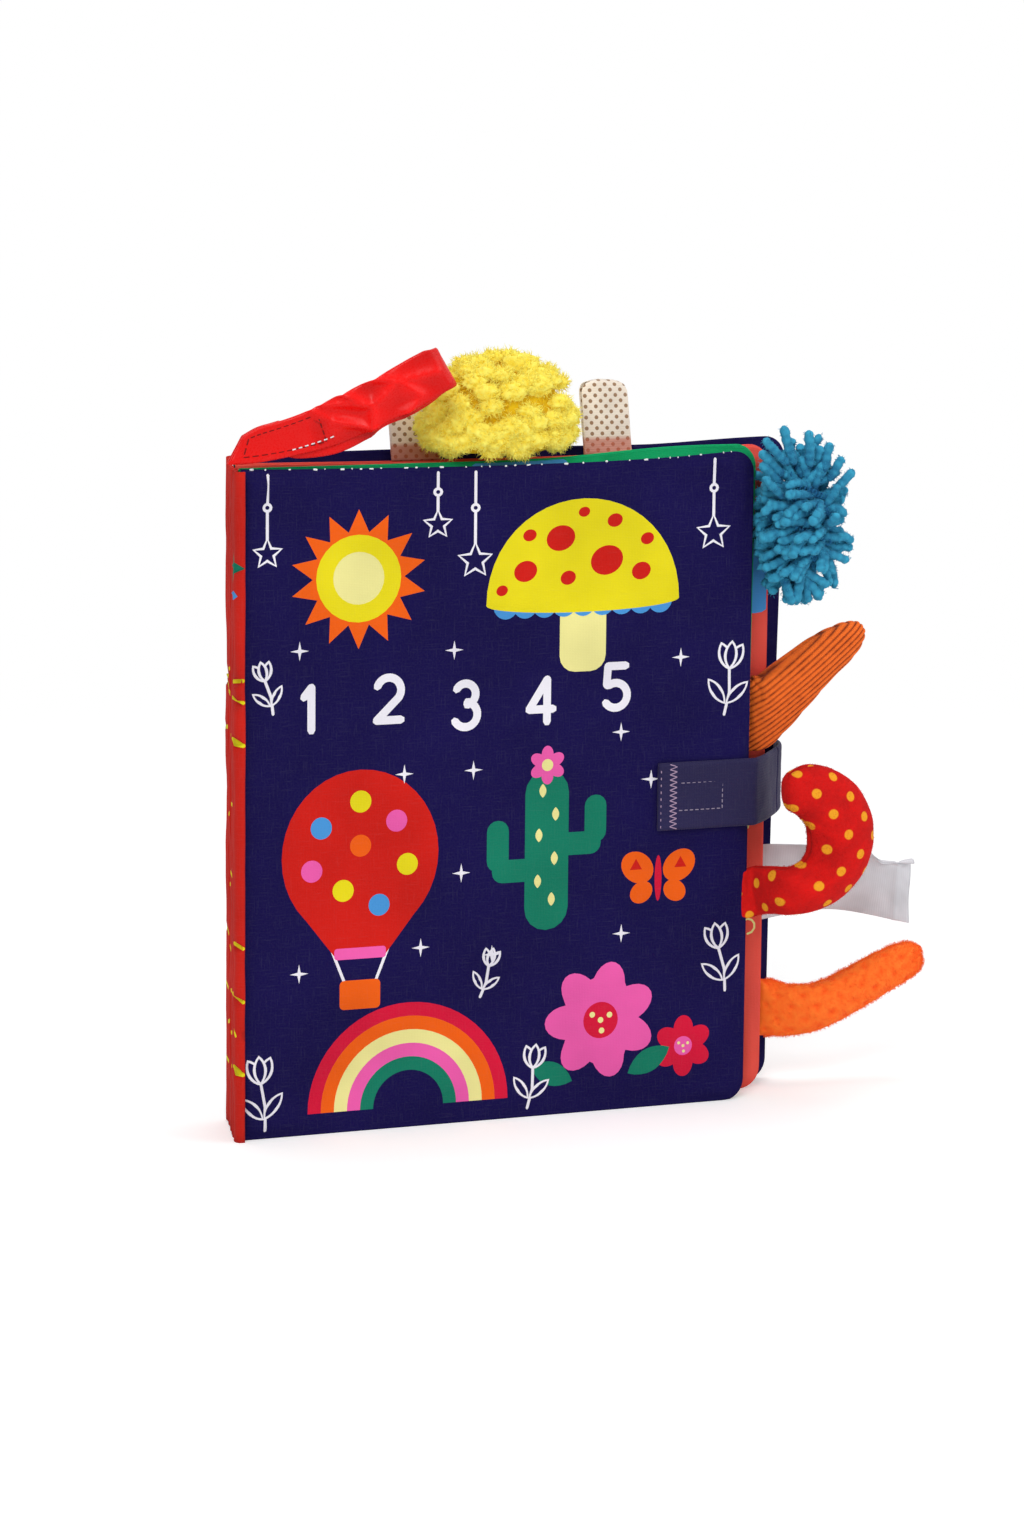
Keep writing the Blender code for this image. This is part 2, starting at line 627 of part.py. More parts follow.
def section_rings(stations, shrink=0.0):
    """Oval rings square to a route; each station has a centre, a half width and a half depth."""
    rings = []
    for place, (centre, half_width, half_depth) in enumerate(stations):
        before = stations[max(place - 1, 0)][0]
        after = stations[min(place + 1, len(stations) - 1)][0]
        seam_normal = Vector((1.0, 0.0, 0.0))
        along = seam_normal.lerp((after - before).normalized(), min(place / ROOT_STATIONS, 1.0)).normalized()
        upward = along.cross(Vector((0.0, 1.0, 0.0))).normalized()
        outward = upward.cross(along)
        ring = []
        for side in range(TAIL_SIDES):
            angle = 2 * math.pi * side / TAIL_SIDES
            ring.append(centre + upward * (half_width - shrink) * math.sin(angle)
                        + outward * (half_depth - shrink) * math.cos(angle))
        rings.append(ring)
    return rings


def stuffed_tail(name, stations, body, material):
    """A sewn cloth tail, open at its root, with stuffing inside."""
    skin = loft(name + "_cloth", section_rings(stations), closed_start=False)
    solidify(skin, TAIL_CLOTH_THICKNESS, -1.0, even=False)
    keep(skin, body, material)
    inner = stations[1:-2]
    keep(loft(name + "_stuffing", section_rings(inner, STUFFING_SHRINK)), body, polyester_filling())


def corduroy_tail(body):
    root = seam_place(1, CORD_TAIL_ROOT_HEIGHT)
    stations = [(root + Vector((CORD_TAIL_REACH * reach, 0.0, CORD_TAIL_RISE * rise)),
                 CORD_TAIL_HALF_WIDTH * width, CORD_TAIL_HALF_DEPTH * depth)
                for reach, rise, width, depth in CORD_TAIL_SHARES]
    stuffed_tail("corduroy_tail", stations, body, orange_corduroy())


def plush_tail(body):
    root = seam_place(3, PLUSH_TAIL_ROOT_HEIGHT)
    stations = [(root + Vector((PLUSH_TAIL_REACH * reach, -PLUSH_TAIL_LEAN * lean, PLUSH_TAIL_RISE * rise)),
                 PLUSH_TAIL_HALF_WIDTH * width, PLUSH_TAIL_HALF_DEPTH * depth)
                for reach, rise, width, depth, lean in PLUSH_TAIL_SHARES]
    stuffed_tail("plush_tail", stations, body, orange_plush())


def curled_tail(body):
    """The dotted tail that leans forward and curls up over itself."""
    root = seam_place(0, CURL_ROOT_HEIGHT)
    centre = root + Vector((CURL_CENTRE_OUT, -CURL_LEAN, CURL_BEND_RADIUS * CURL_RISE_SHARE))
    start = math.radians(CURL_START_DEGREES)
    bend_start = centre + Vector((math.cos(start), 0.0, math.sin(start))) * CURL_BEND_RADIUS
    stations = []
    for way, lean, width, depth in CURL_LEAD_SHARES:
        place = root + Vector(((bend_start.x - root.x) * way, -CURL_LEAN * lean,
                               (bend_start.z - root.z) * way))
        stations.append((place, CURL_HALF_WIDTH * width, CURL_HALF_DEPTH * depth))
    for step in range(CURL_BEND_STATIONS):
        angle = start + math.radians(CURL_TURN_DEGREES) * step / (CURL_BEND_STATIONS - 1)
        place = centre + Vector((math.cos(angle), 0.0, math.sin(angle))) * CURL_BEND_RADIUS
        share = CURL_BEND_SHARES[step]
        stations.append((place, CURL_HALF_WIDTH * share, CURL_HALF_DEPTH * share))
    stuffed_tail("dotted_tail", stations, body, red_velour())


def side_tag(body):
    """The folded satin tag that stands out from the third leaf's fore-edge."""
    root = seam_place(3, TAG_CENTRE_HEIGHT)
    builder = bmesh.new()
    bmesh.ops.create_grid(builder, x_segments=TAG_COLUMNS, y_segments=TAG_ROWS, size=0.5)
    for vertex in builder.verts:
        along = vertex.co.x + 0.5
        bow = -TAG_BOW * math.sin(along * math.pi) - TAG_BOW * along * along
        place = (root.x + TAG_LENGTH * along, root.y + bow,
                 root.z + TAG_HEIGHT * vertex.co.y - TAG_DROOP * along * along)
        vertex.co = place
    item = mesh_object("side_tag", builder)
    solidify(item, TAG_THICKNESS, 0.0)
    keep(item, body, tag_satin())


def build_book():
    """Place every body on its joint's axis and model the pieces it carries."""
    place = Vector((SPINE_PLACE_X, FRONT_PLACE_Y, 0.0))
    book_frame = bpy.data.objects.new("book_frame", None)
    bpy.context.scene.collection.objects.link(book_frame)
    book_frame.location = place
    back_body = hinge_empty("back_cover_body", Vector(), None)
    back_body["empty"].parent = book_frame
    leaf_3_body = hinge_empty("leaf_3_hinge", spine_hinge_place(3), back_body)
    leaf_2_body = hinge_empty("leaf_2_hinge", spine_hinge_place(2), leaf_3_body)
    leaf_1_body = hinge_empty("leaf_1_hinge", spine_hinge_place(1), leaf_2_body)
    front_body = hinge_empty("front_cover_hinge", spine_hinge_place(0), leaf_1_body)
    panel(0, front_body, navy_print(), green_print())
    panel(1, leaf_1_body, green_print(), green_print())
    panel(2, leaf_2_body, coral_print(), coral_print())
    panel(3, leaf_3_body, coral_print(), green_print())
    panel(4, back_body, navy_print(), navy_print())
    flap_body = hinge_empty("strap_flap_hinge", strap_hinge_place(), front_body)
    end_body = hinge_empty("strap_end_hinge", strap_fold_place(), flap_body)
    closing_strap(front_body, flap_body, end_body, back_body)
    carrying_loop(hinge_empty("carrying_loop_hinge", loop_hinge_place(), front_body))
    ball(hinge_empty("ball_hinge", ball_hinge_place(), leaf_2_body))
    for name, from_spine in (("ribbon_left", LEFT_RIBBON_FROM_SPINE),
                             ("ribbon_right", RIGHT_RIBBON_FROM_SPINE)):
        ribbon_body = hinge_empty(name + "_hinge", ribbon_hinge_place(from_spine), leaf_3_body)
        ribbon_loop(name, from_spine, ribbon_body)
    pom(hinge_empty("pom_hinge", seam_place(2, POM_CENTRE_HEIGHT), leaf_2_body))
    corduroy_tail(hinge_empty("corduroy_tail_hinge", seam_place(1, CORD_TAIL_ROOT_HEIGHT), leaf_1_body))
    plush_tail(hinge_empty("plush_tail_hinge", seam_place(3, PLUSH_TAIL_ROOT_HEIGHT), leaf_3_body))
    curled_tail(hinge_empty("dotted_tail_hinge", seam_place(0, CURL_ROOT_HEIGHT), front_body))
    side_tag(hinge_empty("side_tag_hinge", seam_place(3, TAG_CENTRE_HEIGHT), leaf_3_body))


clear_scene()
book_parts = start_collection("cloth_baby_book")
build_book()
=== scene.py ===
"""The looks of the cloth baby book: printed cloth, stitching, straps, satin, stuffed tails and chenille.

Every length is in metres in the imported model's frame: +X to the fore-edge, +Y to the back, +Z up. Motifs are
drawn in millimetres on the flat cloth, and each printed cloth is one mesh that is cut along its motifs.
"""

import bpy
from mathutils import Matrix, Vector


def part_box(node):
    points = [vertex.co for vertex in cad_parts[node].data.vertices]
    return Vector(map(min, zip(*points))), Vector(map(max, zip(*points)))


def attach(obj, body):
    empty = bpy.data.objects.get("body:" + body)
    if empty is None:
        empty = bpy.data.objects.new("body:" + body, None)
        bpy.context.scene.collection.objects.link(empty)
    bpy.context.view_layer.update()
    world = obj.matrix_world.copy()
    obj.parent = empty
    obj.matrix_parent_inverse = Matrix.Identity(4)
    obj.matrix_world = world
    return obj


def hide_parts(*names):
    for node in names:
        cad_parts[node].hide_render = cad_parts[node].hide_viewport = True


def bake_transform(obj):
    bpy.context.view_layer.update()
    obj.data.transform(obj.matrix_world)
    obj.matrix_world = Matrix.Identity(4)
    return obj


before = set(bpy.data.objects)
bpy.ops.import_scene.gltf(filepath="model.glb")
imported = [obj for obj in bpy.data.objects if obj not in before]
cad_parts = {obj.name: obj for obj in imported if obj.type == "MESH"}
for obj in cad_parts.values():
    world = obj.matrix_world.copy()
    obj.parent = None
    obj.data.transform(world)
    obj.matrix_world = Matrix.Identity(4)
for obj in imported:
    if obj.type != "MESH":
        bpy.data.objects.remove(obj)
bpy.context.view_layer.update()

import math
import random
from collections import namedtuple
from itertools import accumulate

import bmesh
import bpy
import numpy as np
from mathutils import Matrix, Vector, geometry, noise

MM = 0.001
TURN = 2 * math.pi

# Panels
CORNER = 7.0 * MM
EDGE_ROUNDING = 6.0 * MM
SPINE_ROUNDING = 3.0 * MM
SEAM_HALF = 0.45 * MM
SEAM_RADIUS = 0.42 * MM
PANEL_GAP = 0.12 * MM
GRID_STEP = 3.4 * MM
PILLOW_COLUMNS = 45
PILLOW_ROWS = 53
STRAP_PRESS_FROM = 143.0 * MM
STRAP_PRESS_SPREAD = 5.0 * MM
# How far each upper edge stands off level, in millimetres, at shares of its width
TOP_EDGES = {
    "front_cover": ((0, 0.11, 0.22, 0.45, 0.68, 0.8, 0.88, 0.95, 1),
                    (-1.1, -1.7, -2.0, -2.7, -2.6, -2.1, -1.6, -0.6, -0.3)),
    "leaf_1": ((0, 0.45, 0.6, 0.7, 0.78, 0.86, 1), (-1.5, -1.8, -1.6, -0.4, 0.6, 1.2, 0.9)),
    "leaf_2": ((0, 0.2, 0.32, 0.6, 0.8, 1), (-1.3, -1.8, -2.1, -2.4, -1.8, -0.4)),
    "leaf_3": ((0, 0.3, 0.6, 0.8, 1), (-1.4, -2.3, -2.6, -2.0, -0.4)),
    "back_cover": ((0, 0.3, 0.5, 0.75, 0.85, 0.95, 1), (0.6, 0.8, 0.3, -0.5, 0.4, 1.2, 1.0)),
}
TOP_EDGE_DEPTH = 45 * MM
DRAWN_IN = {"back_cover": 3.2 * MM, "leaf_1": 1.3 * MM}
EDGE_STOPS = tuple(stop * MM for stop in (0.35, 0.9, 1.7, 2.8, 4.2, 6.0, 8.5))
SMALLEST_CUT = 0.01 * MM
SPINE_PADDING = 1.25 * MM


class Panel(namedtuple("Panel", "name left right low high front back")):
    """A cover or a leaf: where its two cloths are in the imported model."""

    @classmethod
    def read(cls, name):
        low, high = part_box(name + "_front_cloth")
        _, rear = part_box(name + "_back_cloth")
        return cls(name, low.x - SPINE_PADDING, high.x, low.z, high.z, low.y, rear.y)

    @property
    def middle(self):
        return (self.front + self.back) / 2

    @property
    def crown(self):
        """How far each cloth can stand out from the seam plane."""
        return (self.back - self.front) / 2 - PANEL_GAP

    def across(self, x):
        """A place's share of the width, from the spine."""
        return (x - self.left) / (self.right - self.left)

    def upward(self, z):
        return (z - self.low) / (self.high - self.low)


PANELS = [Panel.read(name) for name in ("front_cover", "leaf_1", "leaf_2", "leaf_3", "back_cover")]
COVER, LEAF_1, LEAF_2, LEAF_3 = PANELS[:4]
SPINE_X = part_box("front_cover_spine_cloth")[0].x


def book(x, y, z):
    """A place measured from the lower corner of spine and front face."""
    return Vector((SPINE_X + x, COVER.front + y, z))


# Shader nodes


def linear(red, green, blue):
    """A colour as a photo gives it, 0 to 255, in linear values with an alpha of 1."""
    return tuple(((value / 255 + 0.055) / 1.055) ** 2.4 for value in (red, green, blue)) + (1.0,)


def shaded(colour, factor):
    return tuple(min(value * factor, 1.0) for value in colour[:3]) + (1.0,)


def pale(colour):
    """A colour with some white thread showing through."""
    return tuple(value * 0.85 + 0.06 for value in colour[:3]) + (1.0,)


class Nodes:
    """Short ways to add nodes to a tree."""

    def __init__(self, tree):
        self.tree = tree

    def fill(self, made, inputs):
        """Link each input that is given as a socket, and set each that is given as a value."""
        for name, value in inputs.items():
            if isinstance(value, bpy.types.NodeSocket):
                self.tree.links.new(value, made.inputs[name])
            else:
                made.inputs[name].default_value = value
        return made

    def add(self, kind, inputs, **settings):
        made = self.tree.nodes.new("ShaderNode" + kind)
        for key, value in settings.items():
            setattr(made, key, value)
        return self.fill(made, inputs)

    def math(self, operation, first, second=0.0):
        return self.add("Math", {0: first, 1: second}, operation=operation).outputs[0]

    def times(self, first, second):
        return self.math("MULTIPLY", first, second)

    def vector(self, operation, first, second):
        return self.add("VectorMath", {0: first, 1: second}, operation=operation).outputs[0]

    def noise(self, vector, scale, detail=2.0):
        return self.add("TexNoise", {"Vector": vector, "Scale": scale, "Detail": detail}).outputs["Fac"]

    def mix(self, factor, first, second):
        return self.add("Mix", {0: factor, 6: first, 7: second}, data_type="RGBA").outputs[2]

    def remap(self, value, low, high, new_low=0.0, new_high=1.0):
        inputs = {0: value, 1: low, 2: high, 3: new_low, 4: new_high}
        return self.add("MapRange", inputs).outputs[0]

    def attribute(self, name, output="Vector"):
        return self.add("Attribute", {}, attribute_name=name).outputs[output]

    def ribs(self, vector, pitch, direction):
        inputs = {"Vector": vector, "Scale": TURN / 20 / pitch}
        return self.add("TexWave", inputs, bands_direction=direction).outputs["Fac"]

    def slubs(self, flat, along, across):
        """Thicker threads: streaks that run one way of the cloth."""
        stretched = self.vector("MULTIPLY", flat, (along, across, 1.0))
        return self.remap(self.noise(stretched, 1.0, 1.0), 0.56, 0.8)

    def dots(self, flat, pitch, radius):
        """1 inside the dots of a staggered grid on the cloth, and 0 outside."""
        distances = []
        for place in (flat, self.vector("ADD", flat, (pitch / 2, pitch / 2, 0.0))):
            inputs = {"Vector": place, "Scale": 1 / pitch, "Randomness": 0.0}
            distances.append(self.add("TexVoronoi", inputs, voronoi_dimensions="2D").outputs["Distance"])
        edge = radius / pitch
        return self.remap(self.math("MINIMUM", *distances), edge * 1.12, edge * 0.9)

    def bump(self, height, strength, distance):
        inputs = {"Height": height, "Strength": strength, "Distance": distance}
        return self.add("Bump", inputs).outputs["Normal"]


def start_material(name, roughness, sheen, specular):
    """A Principled material with its constant values set, its shader and its nodes."""
    material = bpy.data.materials.new(name)
    material.use_nodes = True
    shader = material.node_tree.nodes["Principled BSDF"]
    nodes = Nodes(material.node_tree)
    nodes.fill(shader, {"Roughness": roughness, "Sheen Weight": sheen, "Sheen Roughness": 0.5,
                        "Specular IOR Level": specular})
    return material, shader, nodes


WRINKLE_DEPTH = 22.0


def woven(name, colour, pitch=0.55 * MM, roughness=0.85, sheen=0.02, mottle=0.14, relief=0.35,
          specular=0.07, crease_shade=False):
    """Printed or dyed plain-weave cloth: mottled colour, pale specks where threads show, and its weave; a cloth
    with creases also gets painted shade, darker in the hollows of its creases.
    """
    material, shader, nodes = start_material(name, roughness, sheen, specular)
    flat = nodes.attribute("cloth")
    weave = nodes.times(nodes.ribs(flat, pitch, "X"), nodes.ribs(flat, pitch, "Y"))
    broad = nodes.remap(nodes.noise(flat, 28.0), 0.3, 0.7)
    fine = nodes.remap(nodes.noise(flat, 1500.0, 3.0), 0.35, 0.75)
    slubs = nodes.math("MAXIMUM", nodes.slubs(flat, 160.0, 1900.0), nodes.slubs(flat, 1900.0, 160.0))
    base = nodes.mix(broad, shaded(colour, 1 - mottle), shaded(colour, 1 + mottle))
    specks = nodes.math("ADD", nodes.times(fine, 0.12), nodes.times(slubs, 0.15))
    worn = nodes.mix(specks, base, pale(colour))
    threads = nodes.mix(nodes.times(weave, 0.25), worn, shaded(colour, 1.35))
    if crease_shade:
        # Painted shade: where the level attribute is low, the hollows of the creases are darkened towards a
        # third of the colour.
        crease_shade_share = nodes.remap(nodes.attribute("level", "Fac"), 0.0, 1.0, 0.75, 0.0)
        threads = nodes.mix(crease_shade_share, threads, shaded(colour, 0.35))
    wrinkles = nodes.math("ABSOLUTE", nodes.math("SUBTRACT", nodes.noise(flat, 46.0), 0.5))
    height = nodes.math("ADD", weave, nodes.times(fine, 0.6))
    height = nodes.math("SUBTRACT", height, nodes.times(wrinkles, WRINKLE_DEPTH))
    nodes.fill(shader, {"Base Color": threads, "Normal": nodes.bump(height, relief, 0.12 * MM),
                        "Roughness": nodes.remap(fine, 0.0, 1.0, roughness - 0.08, roughness + 0.06)})
    return material


def satin(name, colour, dots=None, foot_reflection_colour=None):
    """Satin ribbon or label: soft gloss, fine ribs, printed dots, and a reddish painted reflection of the coral
    leaf at its foot, if it has them.
    """
    material, shader, nodes = start_material(name, 0.38, 0.25, 0.5)
    flat = nodes.attribute("cloth")
    ribs = nodes.ribs(flat, 0.8 * MM, "X")
    broad = nodes.remap(nodes.noise(flat, 90.0), 0.3, 0.7)
    base = nodes.mix(broad, shaded(colour, 0.86), shaded(colour, 1.1))
    base = nodes.mix(nodes.times(ribs, 0.12), base, shaded(colour, 0.6))
    if dots:
        dot_colour, pitch, radius = dots
        base = nodes.mix(nodes.dots(flat, pitch, radius), base, dot_colour)
    # Painted reflection: the last few millimetres at each end of the band, its foot, are tinted with the coral
    # leaf's reflected light.
    if foot_reflection_colour:
        foot = nodes.remap(nodes.attribute("level", "Fac"), 4.6 * MM, 6.2 * MM, 0.7, 0.0)
        base = nodes.mix(foot, base, foot_reflection_colour)
    nodes.fill(shader, {"Base Color": base, "Roughness": nodes.remap(broad, 0.0, 1.0, 0.3, 0.5),
                        "Normal": nodes.bump(ribs, 0.35, 0.08 * MM)})
    return material


def pile(name, shade_colour, lit_colour, dots=None, roughness=0.95, sheen=0.05, painted_glow=0.0, specular=0.05):
    """Cloth with a soft pile, with painted shade: darker in its hollows and at the roots of its hairs, paler at
    its tips; its emission is painted light that lifts the shade among the fibres.
    """
    material, shader, nodes = start_material(name, roughness, sheen, specular)
    place = nodes.add("TexCoord", {}).outputs["Object"]
    fibres = nodes.noise(place, 2200.0, 3.0)
    tufts = nodes.noise(place, 420.0)
    jitter = nodes.times(nodes.math("SUBTRACT", tufts, 0.5), 0.7)
    # Painted shade: the level attribute, with random tufts, mixes the darker colour in hollows and at roots
    # with the paler colour at tips.
    level = nodes.math("ADD", nodes.attribute("level", "Fac"), jitter)
    base = nodes.mix(level, shade_colour, lit_colour)
    if dots:
        dot_colour, pitch, radius = dots
        base = nodes.mix(nodes.dots(nodes.attribute("cloth"), pitch, radius), base, dot_colour)
    soft = nodes.mix(nodes.times(fibres, 0.3), base, pale(lit_colour))
    # Painted light: the pile emits its own colour, though it is no lamp.
    nodes.fill(shader, {"Base Color": soft, "Emission Color": soft, "Emission Strength": painted_glow,
                        "Roughness": nodes.remap(fibres, 0.3, 0.7, roughness - 0.1, roughness),
                        "Normal": nodes.bump(nodes.math("ADD", fibres, tufts), 0.6, 0.25 * MM)})
    return material


RIBBON_DOTS = (linear(146, 110, 76), 3.6 * MM, 0.66 * MM)
VELOUR_DOTS = (linear(252, 178, 34), 12.4 * MM, 1.58 * MM)
LOOKS = {
    "navy": woven("navy_cloth", linear(22, 15, 72), sheen=0.0, specular=0.04),
    "navy_strap": woven("navy_strap_cloth", linear(40, 36, 74), 0.9 * MM, 0.6, 0.06, 0.12, 0.6),
    "spine": woven("red_spine_cloth", linear(198, 34, 24)),
    "loop": woven("red_loop_cloth", linear(252, 8, 2), 0.3 * MM, 0.32, 0.0, 0.1, 0.12, 0.2, crease_shade=True),
    "hooks": woven("hook_and_loop_cloth", linear(40, 38, 74), 1.1 * MM, 0.9, 0.4, 0.2, 1.0),
    "ribbon": satin("dotted_ribbon_satin", linear(238, 224, 208), RIBBON_DOTS, linear(192, 84, 56)),
    "tag": satin("tag_label_satin", linear(216, 216, 222)),
    "ball": pile("yellow_chenille_pile", linear(238, 204, 14), linear(252, 242, 112), painted_glow=0.12),
    "ball_deep": pile("deep_yellow_yarn", linear(206, 156, 2), linear(242, 206, 22), painted_glow=0.08),
    "pom": pile("blue_chenille_pile", linear(2, 74, 122), linear(66, 180, 216), specular=0.02),
    "pom_deep": pile("deep_blue_yarn", linear(8, 62, 110), linear(28, 120, 170)),
    "corduroy": pile("orange_corduroy_pile", linear(98, 22, 0), linear(248, 112, 34), roughness=0.9),
    "plush": pile("orange_plush_pile", linear(246, 78, 10), linear(255, 122, 38), painted_glow=0.14),
    "velour": pile("dotted_velour_pile", linear(182, 2, 0), linear(228, 10, 4), VELOUR_DOTS, 0.85, 0.02),
    "velour_pile": pile("red_velour_fibres", linear(160, 4, 2), linear(214, 12, 6), roughness=0.85, sheen=0.04),
}
THREADS = {
    "white": ("white_thread", linear(232, 236, 240), 0.7),
    "teal": ("teal_thread", linear(22, 96, 96), 0.7),
    "red": ("dark_red_thread", linear(120, 14, 12), 0.7),
    "grey": ("grey_thread", linear(150, 138, 160), 0.6),
    "pink": ("pale_pink_thread", linear(176, 150, 178), 0.7),
}
for key, (thread_name, thread_colour, thread_roughness) in THREADS.items():
    LOOKS["thread_" + key] = woven(thread_name, thread_colour, 0.5 * MM, thread_roughness, 0.1, 0.05, 0.3)
PRINT_COLOURS = {
    "white": (236, 233, 245), "yellow": (232, 216, 26), "red": (204, 28, 20), "blue": (72, 148, 214),
    "teal": (18, 122, 96), "orange": (242, 96, 18), "pink": (236, 92, 170), "crimson": (212, 22, 58),
    "cream": (238, 230, 150), "green": (12, 158, 96), "coral": (232, 84, 72),
}
for key, colour in PRINT_COLOURS.items():
    LOOKS[key] = woven(key + "_print", linear(*colour))


# Mesh helpers


def read_rows(items, key):
    """One vector for each of a mesh's items, as rows of numbers."""
    values = np.empty(3 * len(items), np.float32)
    items.foreach_get(key, values)
    return values.reshape(-1, 3).astype(float)


def read_layer(mesh, name):
    return read_rows(mesh.attributes[name].data, "vector")


def normals(mesh):
    return read_rows(mesh.vertex_normals, "vector")


def coordinates(mesh):
    return read_rows(mesh.vertices, "co")


def set_coordinates(mesh, values):
    mesh.vertices.foreach_set("co", np.asarray(values, np.float32).ravel())
    mesh.update()


def set_layer(mesh, name, values):
    """Write an attribute: a number or a vector for each vertex."""
    values = np.asarray(values, np.float32)
    kind, key = ("FLOAT_VECTOR", "vector") if values.ndim == 2 else ("FLOAT", "value")
    layer = mesh.attributes.get(name) or mesh.attributes.new(name, kind, "POINT")
    layer.data.foreach_set(key, values.ravel())


def add_object(name, data):
    made = bpy.data.objects.new(name, data)
    bpy.context.scene.collection.objects.link(made)
    return made


def mesh_piece(name, vertices, faces, looks, face_looks=None, **layers):
    """A smooth-shaded mesh object with its materials and the attributes that they read."""
    mesh = bpy.data.meshes.new(name)
    mesh.from_pydata([tuple(v) for v in vertices], [], faces)
    for look in looks:
        mesh.materials.append(LOOKS[look])
    if face_looks is not None:
        mesh.polygons.foreach_set("material_index", face_looks)
    for layer, values in layers.items():
        set_layer(mesh, layer, values)
    mesh.shade_smooth()
    return add_object(name, mesh)


def facing_out(piece):
    """Turn all faces of a closed mesh outward."""
    builder = bmesh.new()
    builder.from_mesh(piece.data)
    bmesh.ops.recalc_face_normals(builder, faces=builder.faces)
    builder.to_mesh(piece.data)
    builder.free()


def settle(piece, body):
    """Give a piece the body that carries it."""
    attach(piece, body)


class Gathered:
    """Vertices, faces and values of many small forms that become one mesh."""

    def __init__(self):
        self.vertices, self.faces, self.flat, self.level = [], [], [], []

    def add(self, vertices, faces, flat, level):
        start = len(self.vertices)
        self.vertices.extend(vertices)
        self.faces.extend(tuple(start + corner for corner in face) for face in faces)
        self.flat.extend(flat)
        self.level.extend(level)

    def piece(self, name, look):
        return mesh_piece(name, self.vertices, self.faces, [look], cloth=self.flat, level=self.level)


def ring_faces(rings, sides):
    """Quads that join each closed ring of points to the next."""
    faces = []
    for start in range(0, (rings - 1) * sides, sides):
        for side in range(sides):
            here, following = start + side, start + (side + 1) % sides
            faces.append((here, following, following + sides, here + sides))
    return faces


def tube(points, radii, sides, levels=None, lump=0.0, seed=0.0):
    """A closed round strand along points, with a radius and a value at each."""
    points = [Vector(point) for point in points]
    vertices, flat, level = [], [], []
    side = None
    length = 0.0
    for place, point in enumerate(points):
        before, after = points[max(place - 1, 0)], points[min(place + 1, len(points) - 1)]
        along = (after - before).normalized()
        if side is None:
            side = along.orthogonal().normalized()
        side = (side - along * side.dot(along)).normalized()
        other = along.cross(side)
        length += (point - before).length
        for step in range(sides):
            angle = TURN * step / sides
            radius = radii[place]
            if lump:
                radius *= 1 + lump * noise.noise(Vector((length / LUMP_LENGTH, angle * 1.6, seed)))
            vertices.append(point + (side * math.cos(angle) + other * math.sin(angle)) * radius)
            flat.append((length, angle * radii[place], 0.0))
            level.append(levels[place] if levels else 1.0)
    faces = ring_faces(len(points), sides)
    faces.append(tuple(reversed(range(sides))))
    faces.append(tuple(range((len(points) - 1) * sides, len(points) * sides)))
    return vertices, faces, flat, level


LUMP_LENGTH = 1.1 * MM
ROUND_END = ((0.0, 0.35), (0.25, 0.78), (0.7, 1.0))


def capsule(start, end, radius, sides=6):
    """A stitch or any short round-ended strand."""
    start, end = Vector(start), Vector(end)
    along = (end - start).normalized() * radius
    points = [start + along * step for step, _ in ROUND_END] + [(start + end) / 2]
    points += [end - along * step for step, _ in reversed(ROUND_END)]
    radii = [radius * share for _, share in ROUND_END]
    return tube(points, radii + [radius] + radii[::-1], sides)


def rows_between(table, count):
    """Rows read smoothly through a table's rows, evenly by row number."""
    table = np.asarray(table, float)
    padded = np.vstack([2 * table[0] - table[1], table, 2 * table[-1] - table[-2]])
    rows = []
    for place in np.linspace(0, len(table) - 1, count):
        first = min(int(place), len(table) - 2)
        step = place - first
        a, b, c, d = padded[first:first + 4]
        rows.append(0.5 * (2 * b + (c - a) * step + (2 * a - 5 * b + 4 * c - d) * step ** 2
                           + (3 * b - a - 3 * c + d) * step ** 3))
    return rows


def running_lengths(points):
    return [0.0] + list(accumulate((after - before).length for before, after in zip(points, points[1:])))


def find_run(reach, distance):
    """The run of a route that a distance falls in, and its share of that run."""
    place = min(max(int(np.searchsorted(reach, distance)) - 1, 0), len(reach) - 2)
    return place, (distance - reach[place]) / (reach[place + 1] - reach[place])


def rise(share):
    """A quarter round from 0 to 1."""
    return math.sqrt(1 - (1 - min(max(share, 0.0), 1.0)) ** 2)


def rumple(*place):
    """Smooth noise at a place given in sizes of its waves."""
    return noise.noise(Vector(place))


def scattered(dice, *spreads):
    """A random vector with a spread along each axis."""
    return Vector([dice.gauss(0, spread) for spread in spreads])


# Motifs: outlines in millimetres on the flat cloth
LINE = 1.0
NUMERAL_LINE = 2.7


def placed(points, x, y, tilt=0.0):
    """Points turned by an angle in degrees and moved."""
    cosine, sine = math.cos(math.radians(tilt)), math.sin(math.radians(tilt))
    return [(x + a * cosine - b * sine, y + a * sine + b * cosine) for a, b in points]


def arc(across, upward, start, end, count):
    """Points of an ellipse round the origin, between two angles in degrees."""
    angles = [math.radians(start + (end - start) * step / count) for step in range(count + 1)]
    return [(across * math.cos(angle), upward * math.sin(angle)) for angle in angles]


def bow(x, y, radius, start, end, count=12):
    return placed(arc(radius, radius, start, end, count), x, y)


def oval(x, y, width, height, tilt=0.0, points=28):
    return placed(arc(width / 2, height / 2, 0, 360, points)[:-1], x, y, tilt)


def spokes(x, y, reaches, start=0.0):
    """A closed outline with corners at these reaches, evenly round its middle."""
    angles = [TURN * (step / len(reaches) + start) for step in range(len(reaches))]
    return [(x + reach * math.cos(angle), y + reach * math.sin(angle)) for reach, angle in zip(reaches, angles)]


def star(x, y, outer, inner, tips):
    return spokes(x, y, [outer, inner] * tips, 0.25)


